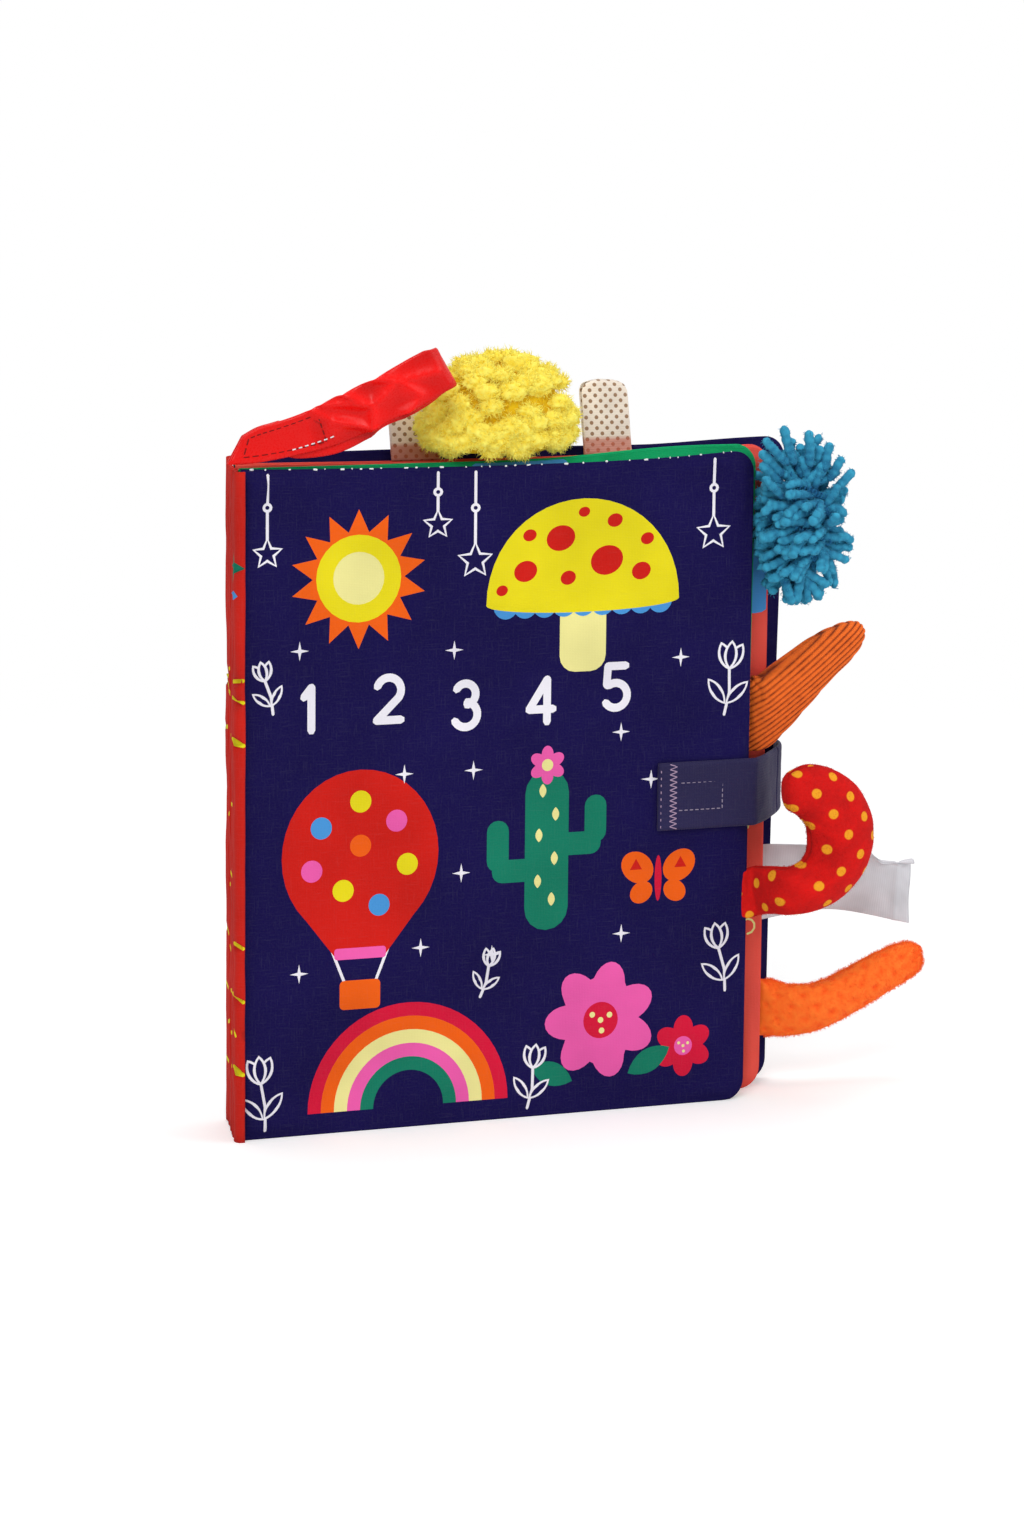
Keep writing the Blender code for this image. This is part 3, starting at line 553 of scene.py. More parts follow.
def scalloped(x, y, radius, lobes, depth, points=72):
    """A disc with round lobes, such as a flower."""
    waves = [abs(math.sin(lobes * TURN * step / points / 2)) for step in range(points)]
    return spokes(x, y, [radius * (1 - depth * (1 - wave)) for wave in waves])


def dome(x, y, width, height, sag=0.0):
    """A cap: an arc over a base that may sag."""
    under = arc(width / 2, sag, 180, 360, 24)[1:-1] if sag else []
    return placed(arc(width / 2, height, 0, 180, 24) + under, x, y)


def arch(x, y, outer, inner):
    return placed(arc(outer, outer, 0, 180, 30) + arc(inner, inner, 180, 0, 30), x, y)


def leaf(x, y, length, width, tilt, points=9):
    """A pointed leaf from its stem end, in the direction of tilt."""
    edge = [(length * s / points, width / 2 * math.sin(math.pi * s / points) ** 0.8) for s in range(1, points)]
    corners = [(0.0, 0.0)] + [(a, -b) for a, b in edge] + [(length, 0.0)] + edge[::-1]
    return placed(corners, x, y, tilt)


def slab(x, y, width, height, corner=2.0):
    """An upright rectangle with round corners, by its middle."""
    corners = []
    for quarter, (right, up) in enumerate(((1, 1), (-1, 1), (-1, -1), (1, -1))):
        middle_x, middle_y = x + right * (width / 2 - corner), y + up * (height / 2 - corner)
        corners += bow(middle_x, middle_y, corner, 90 * quarter, 90 * quarter + 90, 4)
    return corners


def lines(colour, points, width=LINE):
    """A drawn line as one round-ended outline for each of its runs."""
    drawn = []
    for (x1, y1), (x2, y2) in zip(points, points[1:]):
        way = math.degrees(math.atan2(y2 - y1, x2 - x1))
        ends = bow(x2, y2, width / 2, way - 90, way + 90, 3) + bow(x1, y1, width / 2, way + 90, way + 270, 3)
        drawn.append((colour, ends))
    return drawn


def outlined(ground, shape, *values):
    """A shape drawn as a white line: the shape, and a smaller one of the ground's colour in it."""
    outer = shape(*values)
    middle = np.mean(outer, axis=0)
    inner = []
    for corner in outer:
        reach = math.hypot(*(corner - middle))
        inner.append(tuple(middle + (corner - middle) * max(1 - LINE / max(reach, LINE), 0.0)))
    return [("white", outer), (ground, inner)]


def ovals(colour, x, y, size, places, squash=1.0, tilt=0.0):
    """Ovals of a motif: each has its place and its width as shares of the motif's size."""
    return [(colour, oval(x + a * size, y + b * size, c * size, c * size * squash, tilt)) for a, b, c in places]


def tulip(x, y, height, tilt, ground):
    """A line drawing of a tulip on its stem with two leaves."""
    drawn = lines("white", placed([(0, 0), (height * 0.04, height * 0.3), (0, height * 0.62)], x, y, -tilt))
    foot, cup = placed([(0, height * 0.14), (0, height * 0.6)], x, y, -tilt)
    for lean in (-42, 42):
        drawn += outlined(ground, leaf, *foot, height * 0.44, height * 0.17, 90 - tilt - lean)
    for lean in (-24, 24, 0):
        drawn += outlined(ground, leaf, *cup, height * 0.4, height * 0.2, 90 - tilt - lean)
    return drawn


def hanging_star(x, top, drop, size, ground):
    """A line-drawn star on a string from the top edge."""
    drawn = lines("white", [(x, top), (x, top - drop)])
    drawn += outlined(ground, star, x, top - drop - size * 0.8, size, size * 0.5, 5)
    return drawn + outlined(ground, oval, x, top - drop * 0.5, 3.4, 3.4, 0.0, 12)


def sparkles(places, size):
    return [("white", star(x, y, size, size * 0.24, 4)) for x, y in places]


def numeral(digit, x, y, height):
    """A plain numeral from 1 to 5, drawn with one thick line."""
    w, h = height * 0.3, height
    ways = {
        1: [(-0.6 * w, 0.78 * h), (0, h), (0, 0)],
        2: bow(0, h - w, w, 160, -35, 10) + [(-w, 0), (w, 0)],
        3: bow(0, 0.76 * h, 0.85 * w, 150, -80, 10) + bow(0, 0.28 * h, w, 80, -150, 10),
        4: [(0.5 * w, 0), (0.5 * w, h), (-w, 0.3 * h), (w, 0.3 * h)],
        5: [(0.8 * w, h), (-0.7 * w, h), (-0.8 * w, 0.56 * h)] + bow(-0.05 * w, 0.3 * h, w, 125, -145),
    }
    return lines("white", placed(ways[digit], x, y), NUMERAL_LINE)


def sun(x, y, radius, rays=14):
    rings = ovals("yellow", x, y, radius, [(0, 0, 2)]) + ovals("cream", x, y, radius, [(0, 0, 1.2)])
    return [("orange", star(x, y, radius * 1.6, radius * 1.08, rays))] + rings


def toadstool(x, y, width, cap_colour="yellow", spot_colour="red"):
    """A spotted toadstool with a frill under its cap."""
    drawn = [("cream", slab(x, y - width * 0.13, width * 0.24, width * 0.42, width * 0.08))]
    drawn += [("blue", oval(x + width * 0.1 * step, y, width * 0.13, width * 0.14)) for step in range(-4, 5)]
    drawn += [(cap_colour, dome(x, y, width, width * 0.52, width * 0.05))]
    spots = ((-0.3, 0.16, 0.12), (-0.12, 0.32, 0.15), (0.12, 0.2, 0.17), (0.3, 0.14, 0.1), (0.16, 0.4, 0.08),
             (-0.08, 0.12, 0.08), (-0.28, 0.34, 0.07), (0.33, 0.3, 0.07), (0.0, 0.45, 0.06),
             (-0.42, 0.07, 0.06))
    return drawn + ovals(spot_colour, x, y, width, spots, 0.85, 20)


def balloon(x, y, radius):
    """A hot-air balloon with coloured dots and a basket."""
    r = radius
    drawn = []
    for side in (-1, 1):
        drawn += lines("white", [(x + side * r * 0.5, y - r * 0.8), (x + side * r * 0.2, y - r * 1.55)])
    skirt = [(-0.8, -0.62), (-0.3, -1.26), (0.3, -1.26), (0.8, -0.62)]
    drawn += [("orange", slab(x, y - r * 1.55 - r * 0.16, r * 0.52, r * 0.36, 1.5)),
              ("red", oval(x, y, 2 * r, 2.1 * r, 0.0, 40)),
              ("red", [(x + across * r, y + upward * r) for across, upward in skirt]),
              ("pink", slab(x, y - r * 1.2, r * 0.66, r * 0.14, 1.0))]
    dots = ((0.0, 0.66, "yellow"), (-0.5, 0.36, "blue"), (0.46, 0.4, "pink"), (0.0, 0.12, "orange"),
            (-0.62, -0.16, "pink"), (0.6, -0.14, "yellow"), (-0.22, -0.42, "yellow"), (0.24, -0.62, "blue"))
    return drawn + [dot for a, b, colour in dots for dot in ovals(colour, x, y, r, [(a, b, 0.27)])]


def cactus(x, y, height):
    """A round-armed cactus with a flower on top."""
    w = height * 0.27
    drawn = []
    for side, low, tall in ((-1, 0.36, 0.3), (1, 0.5, 0.28)):
        arm = slab(x + side * w * 0.6, y + height * low, w * 1.3, w * 0.5, w * 0.24)
        hand = slab(x + side * w * 1.12, y + height * (low + tall / 2), w * 0.5, height * tall, w * 0.24)
        drawn += [("teal", arm), ("teal", hand)]
    drawn += [("teal", slab(x, y + height * 0.47, w, height * 0.94, w * 0.49))]
    for column, row in ((-0.2, 0.25), (0.18, 0.38), (-0.18, 0.52), (0.2, 0.64), (-0.1, 0.78), (0.12, 0.14)):
        drawn += [("cream", leaf(x + column * w, y + row * height, w * 0.3, w * 0.16, 90))]
    drawn += [("pink", scalloped(x, y + height * 0.97, w * 0.42, 6, 0.35))]
    return drawn + ovals("cream", x, y + height * 0.97, w, [(0, 0, 0.26)])


def butterfly(x, y, size, colour="orange", inner="red"):
    drawn = []
    for side in (-1, 1):
        upper = oval(x + side * size * 0.3, y + size * 0.16, size * 0.5, size * 0.4, side * 38)
        lower = oval(x + side * size * 0.24, y - size * 0.18, size * 0.34, size * 0.28, -side * 34)
        spot = star(x + side * size * 0.32, y + size * 0.18, size * 0.1, size * 0.05, 3)
        drawn += [(colour, upper), (colour, lower), (inner, spot)]
    return drawn + [("crimson", oval(x, y, size * 0.1, size * 0.62))]


def rainbow(x, y, radius):
    step = radius * 0.13
    return [(colour, arch(x, y, radius - step * place, radius - step * (place + 1)))
            for place, colour in enumerate(("crimson", "orange", "cream", "pink", "teal"))]


def blossom(x, y, radius, petal="pink", heart="crimson", lobes=7):
    drawn = [(petal, scalloped(x, y, radius, lobes, 0.32))] + ovals(heart, x, y, radius, [(0, 0, 0.62)])
    grains = ((0, 0, 1), (1.6, 0.8, 1), (-1.5, 1.0, 1), (0.2, -1.8, 1))
    return drawn + ovals("cream", x, y, radius * 0.1, grains)


def cloud(x, y, width, colour="white"):
    puffs = ((-0.3, 0, 0.4), (0.0, 0.1, 0.52), (0.3, 0.0, 0.4), (0.0, -0.06, 0.6))
    return ovals(colour, x, y, width, puffs, 0.8)


def front_design():
    """The front cover's own picture: sky, garden and numerals on navy."""
    width, height = (COVER.right - COVER.left) / MM, (COVER.high - COVER.low) / MM
    drawn = sun(40, 183, 14.5) + toadstool(118, 172, 68)
    for place in range(5):
        drawn += numeral(place + 1, 24 + 26.5 * place, 134 + 2.2 * math.sin(place * 1.9), 14.0)
    drawn += balloon(41, 92, 27) + cactus(106, 63, 57) + butterfly(146, 78, 25) + rainbow(58, 7, 35)
    drawn += blossom(126, 31, 20) + blossom(156, 20, 10.5, "crimson", "pink", 6)
    drawn += [("teal", leaf(136, 12, 17, 8, 28)), ("teal", leaf(116, 11, 16, 8, 158))]
    for x, drop, size in ((9, 22, 5.5), (67, 14, 5.5), (80, 26, 6.5), (164, 20, 6.5)):
        drawn += hanging_star(x, height - 1.5, drop, size, "navy")
    for x, y, tall, tilt in ((8, 3, 25, -4), (100, 3, 22, 8), (width - 7, 38, 24, -10), (11, 140, 18, -14),
                             (width - 9, 132, 25, 6), (83, 42, 17, 16)):
        drawn += tulip(x, y, tall, tilt, "navy")
    return drawn + sparkles(((73, 158), (80, 118), (132, 128), (142, 112), (76, 84), (87, 56), (133, 60),
                             (20, 54), (62, 60), (153, 152), (20, 160), (56, 118)), 3.2)


def green_page():
    """A garden page on green: hills, water, flowers and a sun."""
    drawn = [("blue", oval(96, 214, 34, 40)), ("teal", dome(50, 1, 96, 52)), ("teal", dome(136, 1, 84, 40))]
    drawn += sun(36, 182, 15) + cloud(140, 178, 40) + blossom(60, 70, 16, "crimson", "yellow")
    drawn += blossom(120, 60, 20) + toadstool(94, 116, 46, "red", "white")
    drawn += butterfly(150, 120, 26, "yellow") + butterfly(34, 124, 22)
    for x, tall in ((20, 26), (88, 24), (160, 27)):
        drawn += tulip(x, 4, tall, 0, "teal")
    return drawn


def coral_page():
    """A sky page on coral: a balloon, clouds, stars and a rainbow."""
    drawn = [("blue", oval(182, 176, 24, 26)), ("blue", oval(4, 176, 24, 26))]
    drawn += rainbow(60, 8, 44) + cloud(132, 190, 44) + cloud(50, 150, 36, "cream")
    drawn += [("navy", oval(128, 96, 62, 62)), ("yellow", star(128, 96, 24, 11, 5))]
    drawn += toadstool(44, 96, 44) + butterfly(140, 34, 30, "yellow", "teal")
    drawn += sparkles(((20, 196), (88, 196), (86, 118), (166, 140), (22, 60), (166, 66), (104, 22)), 5)
    drawn += lines("cream", bow(182, 98, 2.0, -140, 150, 8), 0.6) + lines("cream", [(182, 96), (181, 90)], 0.6)
    return drawn + lines("cream", bow(181.5, 56, 2.6, -90, 200, 8), 0.7)


def back_design():
    """The back cover: a plain navy ground with a few scattered motifs."""
    drawn = rainbow(96, 92, 40) + cloud(54, 88, 34) + cloud(138, 88, 34)
    drawn += blossom(40, 176, 15) + blossom(150, 34, 15, "yellow", "orange") + butterfly(150, 178, 26)
    places = ((96, 190), (20, 130), (172, 136), (96, 30), (20, 208), (124, 152), (66, 150), (176, 90))
    return drawn + toadstool(44, 30, 34) + sparkles(places, 4)


# Ground and design of each panel's front and back cloth
PANEL_PRINTS = {
    "front_cover": (("navy", front_design), ("green", green_page)),
    "leaf_1": (("green", green_page), ("green", green_page)),
    "leaf_2": (("coral", coral_page), ("coral", coral_page)),
    "leaf_3": (("coral", coral_page), ("green", green_page)),
    "back_cover": (("navy", back_design), ("navy", back_design)),
}


# Printed cloth


def wound_right(polygon):
    """The polygon with its inside to the left of its edges, as the cutting needs it."""
    area = sum(x1 * y2 - x2 * y1 for (x1, y1), (x2, y2) in zip(polygon, polygon[1:] + polygon[:1]))
    return polygon if area > 0 else polygon[::-1]


def printed_sheet(name, outline, inner, prints, ground, place, flip):
    """A closed cloth, cut along its prints. Outline and prints are on the flat cloth, in metres.

    place gives a flat point's place in the book, on the cloth's outer or its inner side.
    """
    corners = [Vector(point) for point in (*outline, *inner)]
    rim = [(i, (i + 1) % len(outline)) for i in range(len(outline))]
    shapes = []
    for _, polygon in prints:
        shapes.append(list(range(len(corners), len(corners) + len(polygon))))
        corners.extend(Vector(point) for point in wound_right(polygon))
    flat, _, triangles, _, _, owners = geometry.delaunay_2d_cdt(corners, rim, shapes, 0, SMALLEST_CUT)
    looks = [ground] + sorted({colour for colour, _ in prints} - {ground})
    face_looks = [looks.index(prints[max(owner)][0]) if owner else 0 for owner in owners]
    count = len(flat)
    vertices = [place(*point, outside) for outside in (True, False) for point in flat]
    faces = [tuple(t) for t in triangles] + [tuple(count + corner for corner in reversed(t)) for t in triangles]
    edges = [edge for triangle in triangles for edge in zip(triangle, triangle[1:] + triangle[:1])]
    used = set(edges)
    faces += [(end, start, count + start, count + end) for start, end in edges if (end, start) not in used]
    if flip:
        faces = [tuple(reversed(face)) for face in faces]
    face_looks += [0] * (len(faces) - len(face_looks))
    return mesh_piece(name, vertices, faces, looks, face_looks, cloth=[(x, y, 0.0) for x, y in flat] * 2)


def edge_distance(panel, x, z):
    """Distance in from the sewn outline at the fore-edge, top and bottom, whose corners are round."""
    across = panel.right - x
    upward = min(z - panel.low, panel.high - z)
    if across < CORNER and upward < CORNER:
        return CORNER - math.hypot(CORNER - across, CORNER - upward)
    return min(across, upward)


def plain_fullness(panel, side, x, z):
    """How full a panel is before the simulation, from 0 at its seams to 1."""
    edge = max(edge_distance(panel, x, z), 0.0)
    seed = PANELS.index(panel) * 3.1 + side
    full = rise(edge / EDGE_ROUNDING) * (0.7 + 0.3 * rise((x - panel.left) / SPINE_ROUNDING))
    broad = rumple(x / (48 * MM), z / (60 * MM), seed)
    fine = rumple(x / (13 * MM), z / (17 * MM), seed + 9)
    return full * (0.86 + 0.1 * broad + 0.05 * fine)


def simulated_fullness(panel):
    """A panel's fullness on a grid, after its two cloths are filled by cloth simulation."""
    xs = np.linspace(panel.left, panel.right, PILLOW_COLUMNS)
    zs = np.linspace(panel.low, panel.high, PILLOW_ROWS)
    vertices, index, rim = [], {}, set()
    for side in (-1, 1):
        for i, x in enumerate(xs):
            for j, z in enumerate(zs):
                at_rim = i in (0, PILLOW_COLUMNS - 1) or j in (0, PILLOW_ROWS - 1)
                if at_rim and side == 1:
                    index[(side, i, j)] = index[(-1, i, j)]
                    continue
                index[(side, i, j)] = len(vertices)
                if at_rim:
                    rim.add(len(vertices))
                height = 0.0 if at_rim else side * panel.crown * plain_fullness(panel, side, x, z) * 0.8
                vertices.append((x, height, z))
    faces = []
    for side in (-1, 1):
        for i in range(PILLOW_COLUMNS - 1):
            for j in range(PILLOW_ROWS - 1):
                corners = [(side, i, j), (side, i + 1, j), (side, i + 1, j + 1), (side, i, j + 1)]
                faces.append(tuple(index[corner] for corner in corners[::-side]))
    piece = mesh_piece(panel.name + "_pillow", vertices, faces, [])
    facing_out(piece)
    swell(piece, 6.0, 5.0 * MM, -0.012, rim)
    places = coordinates(piece.data)
    bpy.data.objects.remove(piece)
    grids = {}
    for side in (-1, 1):
        numbers = [[index[(side, i, j)] for j in range(PILLOW_ROWS)] for i in range(PILLOW_COLUMNS)]
        full = np.maximum(side * places[numbers, 1], 0) / panel.crown
        grids[side] = full / (1 + full ** 4) ** 0.25
    return grids


def read_grid(grid, across, upward):
    """A value between a grid's rows and columns, at shares of its width and height."""
    columns, rows = grid.shape
    x, y = across * (columns - 1), upward * (rows - 1)
    i, j = min(max(int(x), 0), columns - 2), min(max(int(y), 0), rows - 2)
    near = np.clip(np.arange(i - 1, i + 3), 0, columns - 1)
    high = np.clip(np.arange(j - 1, j + 3), 0, rows - 1)

    def weights(t):
        return np.array([-t + 2 * t * t - t ** 3, 2 - 5 * t * t + 3 * t ** 3, t + 4 * t * t - 3 * t ** 3,
                         t ** 3 - t * t]) / 2

    return float(weights(x - i) @ grid[np.ix_(near, high)] @ weights(y - j))


def panel_half_thickness(panel, side, x, z):
    """How far a panel's cloth stands out from its seam plane."""
    full = read_grid(FULLNESS[panel.name][side], panel.across(x), panel.upward(z))
    full = min(max(full, 0.0), 1.0)
    seam = rise(max(edge_distance(panel, x, z), 0.0) / EDGE_ROUNDING)
    grain = rumple(x / (7 * MM), z / (9 * MM), side + 5)
    if panel is COVER and side < 0:
        before_strap = book(STRAP_PRESS_FROM, 0, 0).x - x
        from_strap = max(before_strap, abs(z - STRAP_CENTRE_HEIGHT) - STRAP_HALF_HEIGHT, 0.0)
        full += (1 - full) * math.exp(-(from_strap / STRAP_PRESS_SPREAD) ** 2) * seam
    return SEAM_HALF + (panel.crown - SEAM_HALF) * full * seam ** 0.5 - 0.05 * MM * (1 + grain) * seam


def top_lift(panel, x, z):
    """How far a panel's cloth is moved up near its upper edge, which isn't level in the soft book."""
    upward = max((z - panel.high) / TOP_EDGE_DEPTH + 1, 0.0)
    shares, lifts = TOP_EDGES[panel.name]
    near = [float(np.interp(panel.across(x) + step, shares, lifts)) for step in (-0.05, 0.0, 0.05)]
    return (0.25 * near[0] + 0.5 * near[1] + 0.25 * near[2]) * MM * upward * upward


def drift(panel, x, z):
    """Two panels draw in a little towards their lower fore-edge corner, as the soft book settles."""
    down = min((panel.high - z) / (panel.high - panel.low), 1.0)
    return -DRAWN_IN.get(panel.name, 0.0) * max(panel.across(x), 0.0) * math.sin(down * math.pi / 2)


def in_book(panel, x, y, z):
    """A place on a panel, as the soft book's shape moves it."""
    return Vector((x + drift(panel, x, z), y, z + top_lift(panel, x, z)))


def clamp_to_panel(panel, x, z):
    """A print's point, kept just inside the sewn outline."""
    margin = 0.3 * MM
    x = min(max(x, panel.left + margin), panel.right - margin)
    z = min(max(z, panel.low + margin), panel.high - margin)
    above = z - (panel.low + panel.high) / 2
    centre_x = panel.right - CORNER
    centre_z = panel.low + CORNER if above < 0 else panel.high - CORNER
    out_x, out_z = x - centre_x, z - centre_z
    reach = math.hypot(out_x, out_z)
    beyond = out_x > 0 and out_z * above > 0 and reach > CORNER - margin
    shrink = (CORNER - margin) / reach if beyond else 1.0
    return centre_x + out_x * shrink, centre_z + out_z * shrink


def stops(low, high):
    """Places across a cloth, close together near its sewn ends."""
    near = [low + stop for stop in EDGE_STOPS]
    far = [high - stop for stop in reversed(EDGE_STOPS)]
    inner = max(int((far[0] - near[-1]) / GRID_STEP), 1)
    return near + list(np.linspace(near[-1], far[0], inner + 1)[1:-1]) + far


def panel_outline(panel):
    """The sewn outline, with two round corners at the fore-edge."""
    xs, zs = stops(panel.left, panel.right), stops(panel.low, panel.high)
    right, low, high = panel.right - CORNER, panel.low + CORNER, panel.high - CORNER
    xs = [x for x in xs if x < right - MM]
    points = [(panel.left, panel.low)] + [(x, panel.low) for x in xs]
    points += bow(right, low, CORNER, -90, 0, 8)
    points += [(panel.right, z) for z in zs if low + MM < z < high - MM]
    points += bow(right, high, CORNER, 0, 90, 8)
    points += [(x, panel.high) for x in reversed(xs)] + [(panel.left, panel.high)]
    return points + [(panel.left, z) for z in reversed(zs)]


def panel_cloth(panel, side):
    """One face of a cover or leaf: its printed cloth over its share of the filling."""
    ground, design = PANEL_PRINTS[panel.name][side > 0]
    prints = []
    for colour, polygon in design():
        xs = [panel.left + u * MM if side < 0 else panel.right - u * MM for u, _ in polygon]
        zs = [panel.low + v * MM for _, v in polygon]
        prints.append((colour, [clamp_to_panel(panel, x, z) for x, z in zip(xs, zs)]))
    inner = [(x, z) for x in stops(panel.left, panel.right) for z in stops(panel.low, panel.high)
             if edge_distance(panel, x, z) > 0.2 * MM]

    def place(x, z, outside):
        half = panel_half_thickness(panel, side, x, z) if outside else 0.03 * MM
        return in_book(panel, x, panel.middle + side * half, z)

    name = panel.name + ("_front" if side < 0 else "_back") + "_cloth"
    piece = printed_sheet(name + "_print", panel_outline(panel), inner, prints, ground, place, side > 0)
    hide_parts(name)
    if side < 0:
        hidden = [panel.name + "_wadding"] + [panel.name + "_crinkle_film"] * panel.name.startswith("leaf")
        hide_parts(*hidden)
    settle(piece, panel.name)


def seam_welt(panel):
    """The turned edge between a panel's two cloths, round its three open sides."""
    look = PANEL_PRINTS[panel.name][0][0]
    points = [in_book(panel, x, panel.middle, z) for x, z in panel_outline(panel) if x > panel.left + 0.1 * MM]
    points = [Vector((x, y, max(z, SEAM_RADIUS))) for x, y, z in points]
    welt = Gathered()
    welt.add(*tube(points, [SEAM_RADIUS] * len(points), 8))
    settle(welt.piece(panel.name + "_seam", look), panel.name)


def overlock(panel):
    """White overlock thread that shows in dashes along the front cover's edges."""
    dice = random.Random(11)
    stitches = Gathered()
    y = panel.middle - 0.3 * MM
    place = panel.left + 3 * MM
    last = panel.right - CORNER
    while place < last:
        end = min(place + dice.choice((0.4, 0.6, 0.8, 1.4)) * MM, last)
        radius = dice.uniform(0.24, 0.42) * MM
        high, end_high = (panel.high + top_lift(panel, x, panel.high) + dice.uniform(0.15, 0.4) * MM
                          for x in (place, end))
        stitches.add(*capsule((place, y, high), (end, y + dice.uniform(-0.2, 0.2) * MM, end_high), radius))
        place = end + dice.choice((2.4, 3.6, 5.0, 7.5)) * MM
    settle(stitches.piece("front_cover_overlock", "thread_white"), panel.name)


def spine_seam(panel):
    """The line of small teal stitches where the front cloth meets the spine."""
    stitches = Gathered()
    pitch, length = 2.6 * MM, 1.8 * MM
    x = panel.left + 0.25 * MM
    for step in range(int((panel.high - panel.low - 7 * MM) / pitch)):
        z = panel.low + 2 * MM + step * pitch
        y = panel.middle - panel_half_thickness(panel, -1, x, z) - 0.05 * MM
        radius = (0.24 if step % 5 else 0.3) * MM
        stitches.add(*capsule((x, y, z), (x, y, z + length), radius))
    settle(stitches.piece("front_cover_spine_stitches", "thread_teal"), panel.name)


# Spine
SPINE_THICKNESS = 0.8 * MM
SPINE_COLUMNS = 18
SPINE_ROWS = 60
# The spine cloth's turned end on a cover: in from the spine side and from the cover's face, in millimetres
SPINE_TURNED_END = ((0.5, 0.55), (0.9, 0.3), (0.25, 0.8), (0.0, 1.7))


def spine_path(index):
    """Points from the middle of one panel's back to the middle of the next one's, seen from above."""
    panel, following = PANELS[index], PANELS[index + 1]
    x1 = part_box(panel.name + "_spine_cloth")[0].x - SPINE_PADDING
    x2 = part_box(following.name + "_spine_cloth")[0].x - SPINE_PADDING
    points = []
    for share in np.linspace(0, 1, 13):
        valley = 0.75 * MM * max(1 - abs(2 * share - 1) * 1.5, 0.0) ** 1.5
        y = panel.middle + (following.middle - panel.middle) * share
        points.append((x1 + (x2 - x1) * share + valley, y))
    turned = [(x * MM, y * MM) for x, y in SPINE_TURNED_END]
    if index == 0:
        starts = [panel.left, x1, x1, x1]
        points = [(start + x, panel.front + y) for start, (x, y) in zip(starts, turned)] + points
    if index == len(PANELS) - 2:
        starts = [following.left, x2, x2, x2]
        points += [(start + x, following.back - y) for start, (x, y) in zip(starts, turned)][::-1]
    return points


class Route:
    """A line seen from above, read by its length, with the direction square to it."""

    def __init__(self, points):
        self.points = [Vector((x, y)) for x, y in points]
        self.reach = running_lengths(self.points)
        self.length = self.reach[-1]

    def at(self, distance):
        place, share = find_run(self.reach, distance)
        return self.points[place].lerp(self.points[place + 1], share)

    def outward(self, distance):
        """Square to the line, to the left of its way, which is outward."""
        step = 0.4 * MM
        before, after = self.at(max(distance - step, 0.0)), self.at(min(distance + step, self.length))
        along = (after - before).normalized()
        return Vector((-along.y, along.x))


def spine_prints(index, length):
    """Short yellow lines and a teal diamond across the spine."""
    drawn = []
    dice = random.Random(40 + index)
    if index == 0:
        drawn += [("teal", star(length * 0.5, 188, 5.2, 2.6, 4))]
        drawn += [("blue", star(length * 0.55, 179, 4.2, 2.2, 4))]
    for height in (152, 146, 133, 108, 84, 62, 46, 36, 22):
        z = height + dice.uniform(-3, 3)
        if (height + index) % 3:
            ends = [(length * 0.06, z), (length * dice.uniform(0.75, 0.95), z + dice.uniform(-1.5, 1.5))]
            drawn += lines("yellow", ends, 1.3)
        elif index == 0 and height < 60:
            drawn += lines("yellow", bow(length * 0.45, z, 2.6, -60, 150, 6), 1.1)
    return drawn


def spine_cloth(index):
    """The red cloth over one fold of the spine, between two panels."""
    panel, following = PANELS[index], PANELS[index + 1]
    route = Route(spine_path(index))
    low, high = panel.low, panel.high
    across, upward = np.linspace(0.0, route.length, SPINE_COLUMNS), np.linspace(low, high, SPINE_ROWS)
    outline = [(s, low) for s in across] + [(route.length, z) for z in upward[1:-1]]
    outline += [(s, high) for s in reversed(across)] + [(0.0, z) for z in reversed(upward[1:-1])]
    inner = [(s, z) for s in across[1:-1] for z in upward[1:-1]]
    margin = 0.1 * MM
    prints = [(colour, [(min(max(u * MM, margin), route.length - margin), low + v * MM) for u, v in polygon])
              for colour, polygon in spine_prints(index, route.length / MM)]

    def place(s, z, outside):
        fine = rumple(s / (4 * MM), z / (9 * MM), index)
        broad = rumple(z / (24 * MM), index * 2.7, 1.0)
        depth = SPINE_THICKNESS if outside else 0.0
        x, y = route.at(s) + route.outward(s) * (depth + (0.25 * fine + 0.45 * broad) * MM)
        share = s / route.length
        lift = top_lift(panel, panel.left, z) * (1 - share) + top_lift(following, following.left, z) * share
        return Vector((x, y, z + lift))

    piece = printed_sheet("spine_cloth_" + str(index + 1), outline, inner, prints, "spine", place, True)
    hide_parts(panel.name + "_spine_cloth")
    if index == len(PANELS) - 2:
        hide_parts(following.name + "_spine_cloth")
    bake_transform(piece)


# Straps, ribbons and tag


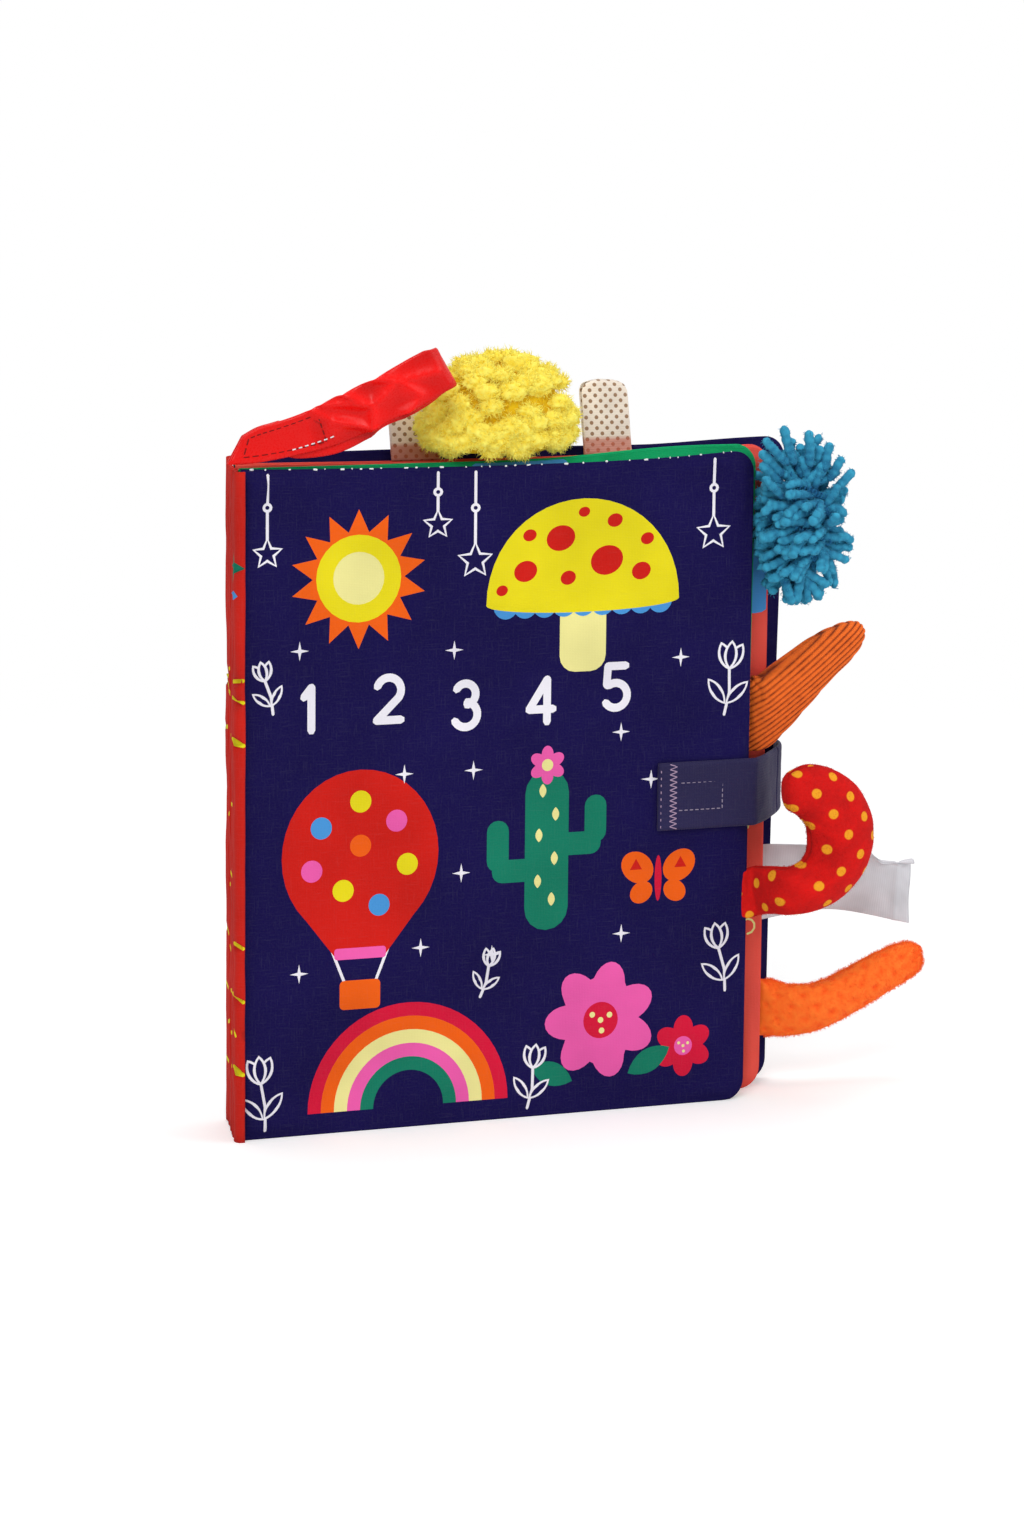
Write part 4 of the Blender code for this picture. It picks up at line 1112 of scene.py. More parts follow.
class Band:
    """A flat strap along stations, each with its middle, the direction of its width and half its width."""

    def __init__(self, stations, thickness):
        self.centres = [Vector(centre) for centre, _, _ in stations]
        self.upwards = [Vector(upward) for _, upward, _ in stations]
        self.halves = [half for _, _, half in stations]
        self.thickness = thickness
        last = len(stations) - 1
        self.ways = [(self.centres[min(i + 1, last)] - self.centres[max(i - 1, 0)]).normalized()
                     for i in range(last + 1)]
        self.reach = running_lengths(self.centres)
        self.length = self.reach[-1]

    def frame_at(self, distance):
        """Middle, width direction, outward direction and half width at a distance along."""
        place, share = find_run(self.reach, distance)
        centre, upward, way = (values[place].lerp(values[place + 1], share)
                               for values in (self.centres, self.upwards, self.ways))
        upward.normalize()
        return centre, upward, way.cross(upward).normalized(), self.half_at(distance)

    def half_at(self, distance):
        place, share = find_run(self.reach, distance)
        return self.halves[place] + (self.halves[place + 1] - self.halves[place]) * share

    def point(self, distance, across, lift):
        """A point across the band, from -1 to 1, at a lift from the middle of its thickness."""
        centre, upward, outward, half = self.frame_at(distance)
        return centre + upward * half * across + outward * lift


HEM_FROM_EDGE = 1.5 * MM
HEM_SPREAD = 1.1 * MM


def level_relief(distance, across, half):
    return 0.0


def band_piece(name, band, look, relief=level_relief, step=0.9 * MM, columns=22, hem=0.0):
    """The mesh of a band: two faces with soft edges, and a raised hem along them if it has one."""
    count = max(int(band.length / step), 6)
    spread = [math.sin(math.pi * (place / (columns - 1) - 0.5)) for place in range(columns)]
    vertices, flat, from_end = [], [], []
    for row in range(count + 1):
        distance = band.length * row / count
        half = band.half_at(distance)
        end = min(distance, band.length - distance)
        end_softness = 0.35 + 0.65 * rise(end / (0.5 * band.thickness))
        for face in (1, -1):
            for across in spread[::face]:
                inward = half * (1 - abs(across))
                soft = rise(inward / (0.7 * band.thickness)) * end_softness
                raised = hem * math.exp(-((inward - HEM_FROM_EDGE) / HEM_SPREAD) ** 2)
                lift = (band.thickness / 2 + raised) * max(soft, 0.12)
                vertices.append(band.point(distance, across, face * lift + relief(distance, across, half)))
                flat.append((distance, across * half, 0.0))
                from_end.append(end)
    ring = 2 * columns
    faces = ring_faces(count + 1, ring)
    for start, way in ((0, -1), (count * ring, 1)):
        for side in range(columns - 1):
            quad = (side, side + 1, ring - 2 - side, ring - 1 - side)
            faces.append(tuple(start + corner for corner in quad)[::way])
    piece = mesh_piece(name, vertices, faces, [look], cloth=flat, level=from_end)
    facing_out(piece)
    return piece


def stitch_run(stitches, band, points, radius, length, gap, lift=0.0):
    """Separate stitches on a band's face, along points given as distance and height on it."""
    for (d1, w1), (d2, w2) in zip(points, points[1:]):
        count = max(round(math.hypot(d2 - d1, w2 - w1) / (length + gap)), 1)
        for place in range(count):
            ends = []
            for share in (place / count, (place + length / (length + gap)) / count):
                distance, width = d1 + (d2 - d1) * share, w1 + (w2 - w1) * share
                ends.append(band.point(distance, width / band.half_at(distance), band.thickness / 2 + lift))
            stitches.add(*capsule(*ends, radius))


# Closing strap
STRAP_HALF_HEIGHT = 11.4 * MM
STRAP_CENTRE_HEIGHT = 106.0 * MM
STRAP_THICKNESS = 1.5 * MM
STRAP_HEM = 0.16 * MM
STRAP_SEWN_LENGTH = 34.0 * MM
STRAP_MIDDLE_Y = -1.0 * MM
STRAP_FOLD = Vector((201.1, 33.8)) * MM
STRAP_END_LENGTH = 15.0 * MM
STRAP_ROUTE = ((0.0, 0.0), (0.24, 0.14), (0.52, 0.36), (0.8, 0.6), (0.97, 0.82), (1.0, 1.0))
STRAP_SEWN_STATIONS = 19
STRAP_FREE_STATIONS = 40
STRAP_SPLIT_SHARE = 0.52
# The sewn box of stitches: along the strap and up from its middle, in millimetres
STRAP_BOX = ((7.4, -4.8), (23.0, -4.8), (23.0, 4.4), (7.4, 4.4))


def strap_relief(distance, across, half):
    """Slight waves and creases of the strap's cloth."""
    broad = rumple(distance / (14 * MM), across * 1.3, 2.0)
    fine = rumple(distance / (4 * MM), across * 4, 7.0)
    return (0.22 * broad + 0.08 * fine) * MM


def strap_bands():
    """The strap in two: to the middle of its free flap, and on to its end."""
    start = Vector((COVER.right - SPINE_X - STRAP_SEWN_LENGTH, STRAP_MIDDLE_Y))
    turn = Vector((COVER.right - SPINE_X + 1.0 * MM, STRAP_MIDDLE_Y))
    route = [start + (turn - start) * share for share in np.linspace(0, 1, STRAP_SEWN_STATIONS + 1)[:-1]]
    route += [Vector((turn.x + (STRAP_FOLD.x - turn.x) * across, turn.y + (STRAP_FOLD.y - turn.y) * back))
              for across, back in rows_between(STRAP_ROUTE, STRAP_FREE_STATIONS)]
    route += [STRAP_FOLD + Vector((0.0, STRAP_END_LENGTH * share)) for share in np.linspace(0, 1, 10)[1:]]
    stations = [(book(x, y, STRAP_CENTRE_HEIGHT), (0.0, 0.0, 1.0), STRAP_HALF_HEIGHT) for x, y in route]
    split = STRAP_SEWN_STATIONS + int(STRAP_SPLIT_SHARE * STRAP_FREE_STATIONS)
    return Band(stations[:split + 1], STRAP_THICKNESS), Band(stations[split:], STRAP_THICKNESS)


def closing_strap():
    """The navy strap: sewn on the front cover, round the fore-edge, and its end, with their stitches."""
    first, second = strap_bands()
    hinge_x = book(COVER.right - SPINE_X + 0.5 * MM, 0, 0).x
    fold_y = book(0, STRAP_FOLD.y, 0).y

    def bend(piece):
        start, end = (hinge_x - 1.5 * MM, 0.0, 0.0), (hinge_x + 2.5 * MM, 0.0, 0.0)
        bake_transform(piece)
        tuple(start)
        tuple(end)

    def bend_end(piece):
        start, end = (0.0, fold_y - 2.0 * MM, 0.0), (0.0, fold_y + 2.0 * MM, 0.0)
        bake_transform(piece)
        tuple(start)
        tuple(end)

    def following_relief(distance, across, half):
        return strap_relief(first.length + distance, across, half)

    near = band_piece("closing_strap_front", first, "navy_strap", strap_relief, hem=STRAP_HEM)
    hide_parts("closing_strap_sewn_part", "closing_strap_flap")
    bend(near)
    far = band_piece("closing_strap_rear", second, "navy_strap", following_relief, hem=STRAP_HEM)
    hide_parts("closing_strap_end")
    bend_end(far)
    box_stitches, tack, end_rows = Gathered(), Gathered(), Gathered()
    box = [(along * MM, height * MM) for along, height in STRAP_BOX]
    stitch_run(box_stitches, first, box, 0.2 * MM, 1.2 * MM, 0.7 * MM, -0.05 * MM)
    bend(box_stitches.piece("closing_strap_box_stitches", "thread_grey"))
    heights = np.linspace(-1, 1, 26) * (STRAP_HALF_HEIGHT - 0.5 * MM)
    zigzag = [(4.0 * MM if place % 2 else 6.6 * MM, height) for place, height in enumerate(heights)]
    stitch_run(tack, first, zigzag, 0.19 * MM, 9 * MM, 0.02 * MM, -0.04 * MM)
    edge = [(0.9 * MM, -STRAP_HALF_HEIGHT + MM), (0.9 * MM, STRAP_HALF_HEIGHT - MM)]
    stitch_run(tack, first, edge, 0.17 * MM, 0.9 * MM, 1.5 * MM, -0.05 * MM)
    bend(tack.piece("closing_strap_bar_tack", "thread_pink"))
    row_end = STRAP_HALF_HEIGHT - 1.5 * MM
    for distance in (second.length - 2.2 * MM, second.length - STRAP_END_LENGTH + 1.6 * MM):
        stitch_run(end_rows, second, [(distance, -row_end), (distance, row_end)], 0.24 * MM, 1.9 * MM, 0.7 * MM)
    bend_end(end_rows.piece("closing_strap_end_stitches", "thread_grey"))


def patch(node_name, way, out, shift, body, tangle, seed):
    """A hook or loop patch: its woven backing with its loops or hooks standing on it."""
    low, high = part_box(node_name)
    size = high - low
    depth = abs(size.dot(out))
    length = max(abs(size.dot(way)), MM)
    base = (low + high) / 2 + shift - out * depth * 0.2
    stations = [(base + way * (share - 0.5) * length, (0, 0, 1), size.z / 2) for share in np.linspace(0, 1, 12)]
    band = Band(stations, depth * 0.6)
    backing = band_piece(node_name + "_backing", band, "hooks", hem=0.05 * MM)
    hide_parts(node_name)
    dice = np.random.default_rng(seed)
    roots, ways = [], []
    for _ in range(1500):
        distance, across = dice.uniform(0.6, band.length / MM - 0.6) * MM, dice.uniform(-0.9, 0.9)
        roots.append(band.point(distance, across, 0.0) + out * band.thickness * 0.45)
        ways.append((out + Vector(dice.normal(size=3)) * tangle).normalized())
    standing = fibres(node_name + "_pile", roots, ways, "hooks", depth * 0.38, 0.06 * MM, 0.9, 7)
    for piece in (backing, standing):
        settle(piece, body)


# Carrying loop
LOOP_REACH = 66.8 * MM
LOOP_ROOT_X = -1.8 * MM
LOOP_RISE = 27.5 * MM
LOOP_LEAN = 11.5 * MM
LOOP_HALF_WIDTH = 7.8 * MM
LOOP_THICKNESS = 1.2 * MM
LOOP_HALF_GAP = 4.6 * MM
LOOP_LIFT = 0.8 * MM
LOOP_STITCHED_SHARE = 0.48
LOOP_SEWN_GAP = 0.72 * MM
LOOP_REAR_DROP = 3.4 * MM
# Share of the reach, of the rise, of the lean and of the half width
LOOP_ROUTE = ((0.0, 0.0, 0.0, 0.66), (0.1, 0.05, 0.04, 0.72), (0.22, 0.11, 0.1, 0.76), (0.34, 0.19, 0.22, 0.82),
              (0.46, 0.29, 0.36, 0.93), (0.58, 0.44, 0.5, 0.98), (0.7, 0.6, 0.64, 0.96),
              (0.86, 0.8, 0.82, 1.02), (1.0, 1.0, 1.0, 0.92))
# The sewn end slants down to the spine's corner
LOOP_END_SLANT = math.radians(41)
LOOP_SLANTED_SHARE = 0.16
# Creases of the free part: along from the seam and across, start and end, then height
LOOP_CREASES = ((27, 1.0, 33, 0.1, 1.0), (33, 0.1, 44, -0.9, 1.3), (31, 1.0, 41, 0.5, 0.9),
                (41, 0.5, 47, 0.0, 1.3), (47, 0.0, 43, -1.0, 1.2), (40, 1.0, 47, 0.0, 1.2),
                (47, 0.0, 57, 0.45, 1.2), (51, 1.0, 57, 0.45, 1.1), (57, 0.45, 62, -0.5, 1.1),
                (57, 0.45, 70, 0.0, 0.8), (62, -0.5, 56, -1.0, 0.8))
LOOP_CREASE_SPREAD = 2.2 * MM


def loop_station(table, share, gap, lowered):
    """The loop at a share of its reach: its middle, the direction of its width and half its width."""

    def read(at, column):
        return float(np.interp(at, table[:, 0], table[:, column]))

    ahead, behind = min(share + 0.02, 1.0), max(share - 0.02, 0.0)
    slope = math.atan2((read(ahead, 1) - read(behind, 1)) * LOOP_RISE, (ahead - behind) * LOOP_REACH)
    slope -= LOOP_END_SLANT * max(1 - share / LOOP_SLANTED_SHARE, 0.0)
    drop = LOOP_REAR_DROP * lowered * rise((share - 0.25) / 0.4)
    root = book(LOOP_ROOT_X, (COVER.back - COVER.front) / 2, COVER.high + LOOP_LIFT + LOOP_HALF_WIDTH * 0.6)
    centre = Vector((LOOP_REACH * share, gap - LOOP_LEAN * read(share, 2), LOOP_RISE * read(share, 1) - drop))
    return root + centre, (-math.sin(slope), 0.0, math.cos(slope)), LOOP_HALF_WIDTH * read(share, 3)


def loop_band():
    """The loop's strap: out from the spine, round its fold and back."""
    table = np.array(rows_between(LOOP_ROUTE, 240))
    fold = LOOP_HALF_GAP / LOOP_REACH
    way = []
    for share in np.linspace(0, 1 - fold, 48):
        past = max(share - LOOP_STITCHED_SHARE, 0.0) / (1 - fold - LOOP_STITCHED_SHARE)
        opened = math.sin(min(past, 0.5) * math.pi) ** 2
        way.append((share, LOOP_SEWN_GAP + (LOOP_HALF_GAP - LOOP_SEWN_GAP) * opened))
    turn = [(1 - fold + fold * math.sin(math.pi * s / 12), -LOOP_HALF_GAP * math.cos(math.pi * s / 12), s / 12)
            for s in range(1, 12)]
    whole = [(share, -gap, 0.0) for share, gap in way] + turn + [(share, gap, 1.0) for share, gap in way[::-1]]
    return Band([loop_station(table, *row) for row in whole], LOOP_THICKNESS)


def crease_height(place, half):
    """How high the creases stand at a place given as length from the seam and height across."""
    ridge = 0.0
    for first, first_across, last, last_across, height in LOOP_CREASES:
        start, end = Vector((first * MM, first_across * half)), Vector((last * MM, last_across * half))
        _, share = geometry.intersect_point_line(place, start, end)
        gap = (place - start.lerp(end, min(max(share, 0.0), 1.0))).length
        ridge = max(ridge, height * math.exp(-gap / LOOP_CREASE_SPREAD))
    return ridge


def carrying_loop():
    """The smooth red strap that runs out from the spine, folds over and comes back beside itself."""
    band = loop_band()

    def relief(distance, across, half):
        from_fold = abs(distance - band.length / 2)
        from_seam = min(distance, band.length - distance)
        soft = rumple(distance / (11 * MM), across * 1.4, 9.0)
        free = rise((from_seam - 25 * MM) / (9 * MM))
        near_fold = 0.2 + 0.8 * rise((from_fold - 1.5 * MM) / (8 * MM))
        ridge = crease_height(Vector((from_seam, across * half)), half)
        way = 1 if distance < band.length / 2 else -0.7
        return way * (2.5 * (ridge - 0.4) + 0.9 * soft) * MM * (0.06 + 0.94 * free) * near_fold

    strap = band_piece("carrying_loop_strap", band, "loop", relief, 0.7 * MM, 26, 0.12 * MM)
    # Painted shade: each point's level is lighter on the creases' ridges and darker in their hollows, and the
    # rear layer past the fold is darker still.
    loop_shade_levels = []
    for distance, sideways, _ in read_layer(strap.data, "cloth"):
        half = band.half_at(distance)
        height = relief(distance, sideways / half, half) / MM
        behind = 0.3 * rise((distance - band.length / 2) / (4 * MM))
        loop_shade_levels.append(min(max(0.72 + 0.34 * height - behind, 0.0), 1.0))
    set_layer(strap.data, "level", loop_shade_levels)
    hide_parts("carrying_loop")
    stitches, tack = Gathered(), Gathered()
    left, right = 3.5 * MM, LOOP_REACH * LOOP_STITCHED_SHARE * 0.9
    corners = [(distance, side * (band.half_at(distance) - 2.3 * MM))
               for distance, side in ((left, -1), (right, -1), (right, 1), (left, 1), (left, -1))]
    stitch_run(stitches, band, corners, 0.2 * MM, 1.7 * MM, 0.8 * MM, -0.04 * MM)
    lowest = corners[0][1]
    white_row = [(right * 0.62, lowest - 0.9 * MM), (right * 1.12, lowest - 0.8 * MM)]
    stitch_run(tack, band, white_row, 0.24 * MM, 1.3 * MM, 0.9 * MM)
    stitched = stitches.piece("carrying_loop_stitches", "thread_red")
    tacked = tack.piece("carrying_loop_tack", "thread_white")
    for piece in (strap, stitched, tacked):
        settle(piece, "carrying_loop")


RIBBON_TOP_ROUNDING = 4.2 * MM
RIBBON_HALF_GAP = 1.7 * MM
RIBBON_FOOT_GAP = 0.3 * MM


def ribbon(name, rounding):
    """A folded satin ribbon that stands on the third leaf's top edge, its foot held in the seam."""
    low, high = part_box(name)
    middle = (low.x + high.x) / 2
    half = (high.x - low.x) / 2
    lean = (low.y + high.y) / 2 - LEAF_3.middle - 0.6 * MM
    foot, top = LEAF_3.high - 2.0 * MM, high.z
    profile = []
    for share in np.linspace(0, 1, 14):
        spread = RIBBON_FOOT_GAP + (RIBBON_HALF_GAP - RIBBON_FOOT_GAP) * math.sin(share * math.pi / 2) ** 1.4
        profile.append((spread, foot + (top - RIBBON_HALF_GAP - foot) * share))
    fold = bow(0.0, top - RIBBON_HALF_GAP, RIBBON_HALF_GAP, 0, 180, 10)[1:-1]
    stations = []
    for spread, height in profile + fold + [(-spread, height) for spread, height in profile[::-1]]:
        share = (height - foot) / (top - foot)
        below = max(top - height, 0.0)
        narrow = RIBBON_TOP_ROUNDING * rounding * (1 - rise(below / RIBBON_TOP_ROUNDING))
        centre = Vector((middle, LEAF_3.middle + spread + 2 * lean * share, height))
        stations.append((centre, (1.0, 0.0, 0.0), half - narrow - 0.4 * MM * share))
    band = Band(stations, 0.32 * MM)

    def relief(distance, across, half_width):
        share = math.sin(math.pi * distance / band.length)
        wave = 0.35 * MM * rumple(distance / (9 * MM), across * 1.5, middle * 40)
        return (wave - 0.45 * MM * across * across) * share

    piece = band_piece(name + "_satin", band, "ribbon", relief, 0.6 * MM, 26, 0.05 * MM)
    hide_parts(name)
    settle(piece, name)


TAG_ROOT_HEIGHT = 70.0 * MM
TAG_HALF_WIDTH = 13.0 * MM
TAG_HALF_GAP = 0.32 * MM
TAG_FOLD_SHARE = 0.985
TAG_DROOP = 4.4 * MM
TAG_BOW = 2.4 * MM
TAG_CROWN = 1.4 * MM
TAG_TILT = 0.4
TAG_ROLLED_EDGE = 5.2 * MM
TAG_ROLL_RADIUS = 1.9 * MM


def tag_axis(inside):
    """Depth and height of the tag's middle line at a share of its reach, before its crown."""
    lean = -TAG_BOW * math.sin(inside * math.pi) - TAG_BOW * inside * inside
    return LEAF_3.middle + lean, TAG_ROOT_HEIGHT - TAG_DROOP * inside * inside


def side_tag():
    """The bare satin tag: two layers from the seam out to a fold, with one corner rolled."""
    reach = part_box("side_tag")[1].x - LEAF_3.right
    layer = np.linspace(-0.03, TAG_FOLD_SHARE, 34)
    fold = [(TAG_FOLD_SHARE + along, gap) for gap, along in arc(TAG_HALF_GAP, 0.012, 0, 180, 6)[1:-1]]
    whole = [(share, TAG_HALF_GAP) for share in layer] + fold
    whole += [(share, -TAG_HALF_GAP) for share in layer[::-1]]
    stations = []
    for share, gap in whole[::-1]:
        inside = max(share, 0.0)
        depth, height = tag_axis(inside)
        centre = Vector((LEAF_3.right + reach * share, depth + gap, height))
        centre.z += TAG_CROWN * math.sin(inside * math.pi)
        tilt = TAG_TILT * math.sin(inside * math.pi)
        stations.append((centre, (0.0, -math.sin(tilt), math.cos(tilt)), TAG_HALF_WIDTH))
    band = Band(stations, 0.3 * MM)

    def relief(distance, across, half_width):
        from_fold = abs(distance - band.length / 2)
        face = 1 if distance < band.length / 2 else -1
        fold_line = 0.6 * MM * math.exp(-((from_fold - 6 * MM) / (1.1 * MM)) ** 2)
        wave = 0.7 * MM * rumple(from_fold / (16 * MM), across * 1.2, 3.0)
        return face * (wave + fold_line) * rise((band.length / 2 - from_fold) / (10 * MM))

    piece = band_piece("side_tag_satin", band, "tag", relief, 0.8 * MM, 34, 0.08 * MM)
    places = []
    for x, y, z in coordinates(piece.data):
        inside = max((x - LEAF_3.right) / reach, 0.0)
        axis_y, axis_z = tag_axis(inside)
        axis_z += TAG_HALF_WIDTH - TAG_ROLLED_EDGE
        strength = min(max((inside - 0.6) / 0.32, 0.0), 1.0)
        bend = strength * strength * (3 - 2 * strength) / TAG_ROLL_RADIUS
        if z > axis_z and bend > 1:
            angle, gap = (z - axis_z) * bend, y - axis_y
            y = axis_y - (1 - math.cos(angle)) / bend + gap * math.cos(angle)
            z = axis_z + math.sin(angle) / bend + gap * math.sin(angle)
        places.append((x, y, z))
    set_coordinates(piece.data, places)
    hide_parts("side_tag")
    settle(piece, "side_tag")


# Pile
HAIR_FACES = ((0, 1, 4, 3), (1, 2, 5, 4), (2, 0, 3, 5), (3, 4, 6), (4, 5, 6), (5, 3, 6))
YARN_RADIUS = 0.22 * MM
COIL_LENGTH = 9 * MM


def fibres(name, roots, ways, look, length, width, bend, seed):
    """Many fine curved hairs, each a three-sided tapered strand."""
    dice = np.random.default_rng(seed)
    roots, ways = np.array(roots, float), np.array(ways, float)
    count = len(roots)
    reach = (length * dice.uniform(0.65, 1.2, count))[:, None]
    side = np.cross(ways, dice.normal(size=(count, 3)))
    side /= np.linalg.norm(side, axis=1)[:, None]
    other = np.cross(ways, side)
    rings = []
    for share, thick in ((0.0, 1.0), (0.55, 0.8)):
        centre = roots + ways * reach * share + side * reach * bend * share ** 2
        for corner in range(3):
            angle = TURN * corner / 3
            rings.append(centre + (side * math.cos(angle) + other * math.sin(angle)) * width * thick)
    tip = roots + ways * reach * (1 - 0.3 * bend) + side * reach * bend
    vertices = np.stack(rings + [tip], axis=1).reshape(-1, 3)
    faces = [tuple(start + corner for corner in face)
             for start in range(0, 7 * count, 7) for face in HAIR_FACES]
    # Painted shade: each hair is darker at its root and paler at its tip.
    level = np.tile([0.25] * 3 + [0.75] * 3 + [1.0], count) + np.repeat(dice.uniform(-0.2, 0.2, count), 7)
    return mesh_piece(name, vertices, faces, [look], cloth=vertices, level=level)


def round_form(centre, half_sizes, lump, lump_size, seed, detail=3):
    """A closed lumpy ball: vertices, faces and how far each point stands out."""
    builder = bmesh.new()
    bmesh.ops.create_icosphere(builder, subdivisions=detail, radius=1.0)
    vertices, level = [], []
    for vertex in builder.verts:
        way = vertex.co.normalized()
        lumps = noise.fractal(way * lump_size + Vector((seed, 0, 0)), 1.0, 2.0, 3)
        vertices.append(centre + along_way(way, half_sizes) * (1 + lump * lumps))
        # Painted shade: the level is lower in the hollows between lumps and higher on them, so the pile paints
        # the hollows darker.
        level.append(0.5 + 0.7 * lumps)
    faces = [tuple(corner.index for corner in face.verts) for face in builder.faces]
    builder.free()
    return vertices, faces, vertices, level


def spread_ways(count, jitter, seed):
    """Directions spread evenly over a sphere, each a little off its place."""
    dice = random.Random(seed)
    ways = []
    for place in range(count):
        height = 1 - 2 * (place + 0.5) / count
        angle = place * math.pi * (3 - math.sqrt(5))
        ring = math.sqrt(1 - height * height)
        way = Vector((ring * math.cos(angle), ring * math.sin(angle), height))
        ways.append((way + scattered(dice, jitter, jitter, jitter)).normalized())
    return ways


def along_way(way, half_sizes):
    return Vector(way[i] * half_sizes[i] for i in range(3))


def coil_of_yarn(start, way, across, turns, steps, radius, level):
    """A coil of thin yarn that lies across a place."""
    points = []
    for step in range(steps + 1):
        turned = TURN * turns * step / steps
        points.append(start + across * (step / steps - 0.5) * COIL_LENGTH + way * math.cos(turned) * radius
                      + way.cross(across) * math.sin(turned) * radius)
    return tube(points, [YARN_RADIUS] * len(points), 5, [level] * len(points))


def finish_toy(pieces, fill, slot, body, *nodes):
    """Hide the imported parts that a soft toy replaces, and give its core, tufts, yarn and fibres the body that
    carries them.
    """
    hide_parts(*nodes)
    for piece in pieces:
        settle(piece, body)


BALL_FOOT = 12.0 * MM
BALL_SHIFT = Vector((-2.6, 0.0, 0.0)) * MM


def ball_place(way, half, share):
    """A place on the ball: a dome above, and nearly upright sides down to its wide foot."""
    across = math.hypot(way.x, way.y)
    if way.z >= 0:
        ring, height = across, way.z * half.z
    else:
        ring, height = (1 - abs(way.z) ** 3.5) ** (1 / 3.5), way.z * BALL_FOOT
    scale = ring / max(across, 1e-6)
    return Vector((way.x * half.x * scale, way.y * half.y * scale, height)) * share


def chenille_ball():
    """The yellow ball: fluffy tufts close together over a core of looped yarn."""
    low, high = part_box("chenille_ball")
    centre = (low + high) / 2 + BALL_SHIFT
    centre.z = low.z + BALL_FOOT - 1.5 * MM
    half = Vector(((high.x - low.x) / 2, (high.y - low.y) / 2, high.z - centre.z))
    dice = random.Random(21)
    core = Gathered()
    core.add(*round_form(centre, Vector((half.x * 0.8, half.y * 0.8, half.z * 0.78)), 0.03, 3.0, 5.0, 4))
    core.vertices = [Vector((v.x, v.y, max(v.z, low.z - 0.5 * MM))) for v in core.vertices]
    tufts, roots, ways = Gathered(), [], []
    foot_ring = [Vector((x, y, -0.75)).normalized() for x, y in arc(1, 1, 0, 360, 22)[:-1]]
    for place, way in enumerate(spread_ways(112, 0.12, 3) + foot_ring):
        size = dice.uniform(3.6, 5.4) * MM
        inset = 1 - size * 0.55 / min(half.x, half.y * 1.3)
        middle = centre + ball_place(way, half, inset)
        middle.z = max(middle.z, LEAF_2.high - 1.5 * MM + size * 0.72)
        sizes = Vector([size * dice.uniform(*span) for span in ((0.95, 1.25), (0.8, 0.95), (0.7, 0.9))])
        tufts.add(*round_form(middle, sizes * 0.8, 0.34, 2.2, place * 7.3, 3))
        for out in spread_ways(170, 0.25, place):
            roots.append(middle + along_way(out, sizes * 0.66))
            ways.append((out + scattered(dice, 0.4, 0.4, 0.4)).normalized())
    yarn = Gathered()
    for way in spread_ways(70, 0.1, 9):
        start = centre + ball_place(way, half, 0.8)
        side = way.orthogonal().normalized()
        other = way.cross(side)
        turn = dice.uniform(0, TURN)
        across = side * math.cos(turn) + other * math.sin(turn)
        yarn.add(*coil_of_yarn(start, way, across, 5, 32, 0.9 * MM, 0.5))
    pieces = [core.piece("chenille_ball_core", "ball_deep"), tufts.piece("chenille_ball_tufts", "ball"),
              yarn.piece("chenille_ball_yarn", "ball_deep"),
              fibres("chenille_ball_fibres", roots, ways, "ball", 2.6 * MM, 0.17 * MM, 0.6, 12)]
    finish_toy(pieces, 0.8, "yellow_chenille", "ball", "chenille_ball", "ball_tab")


POM_NOODLE_RADIUS = 1.45 * MM
POM_KNOB_PITCH = 2.7 * MM
NOODLE_POINTS = 25
# Long noodles of the outline, in the book's millimetres: root across and up, tip across and up
POM_LONG_NOODLES = ((192.2, 214, 188.2, 227.4), (197.4, 213, 196.5, 225.4), (202.5, 211, 205.4, 220.4),
                    (205, 208, 209.8, 215.2), (205, 203, 213.6, 211.4), (205, 203.5, 214, 204.4),
                    (204, 193, 214.6, 187.2), (203, 189, 215.2, 184), (200, 186, 212.4, 181.2),
                    (196, 183, 208.8, 177), (192, 181, 205.6, 172.8), (189, 177, 192.8, 167.2),
                    (190, 214, 181, 223), (189, 210, 180.4, 218.6), (188, 207, 180.6, 214),
                    (188, 203, 180.4, 210))
POM_LONG_SHIFT = Vector((-2.2, -4.0, 1.6)) * MM


def noodle_way(out, dice):
    """The way a noodle lies at a place of the pom: outward round its edge, and to the lower left in front."""
    edge = math.hypot(out.x, out.z)
    outward = Vector((out.x, 0.0, out.z)) / max(edge, 0.05)
    if out.x < -0.3 and out.z < 0.3:
        outward = Vector((-1.0, 0.0, -0.15))
    share = min(max((edge - 0.5) / 0.35, 0.0), 1.0)
    way = Vector((-0.95, 0.0, -0.3)).lerp(outward, share)
    return way + scattered(dice, 0.2, 0.12, 0.2)


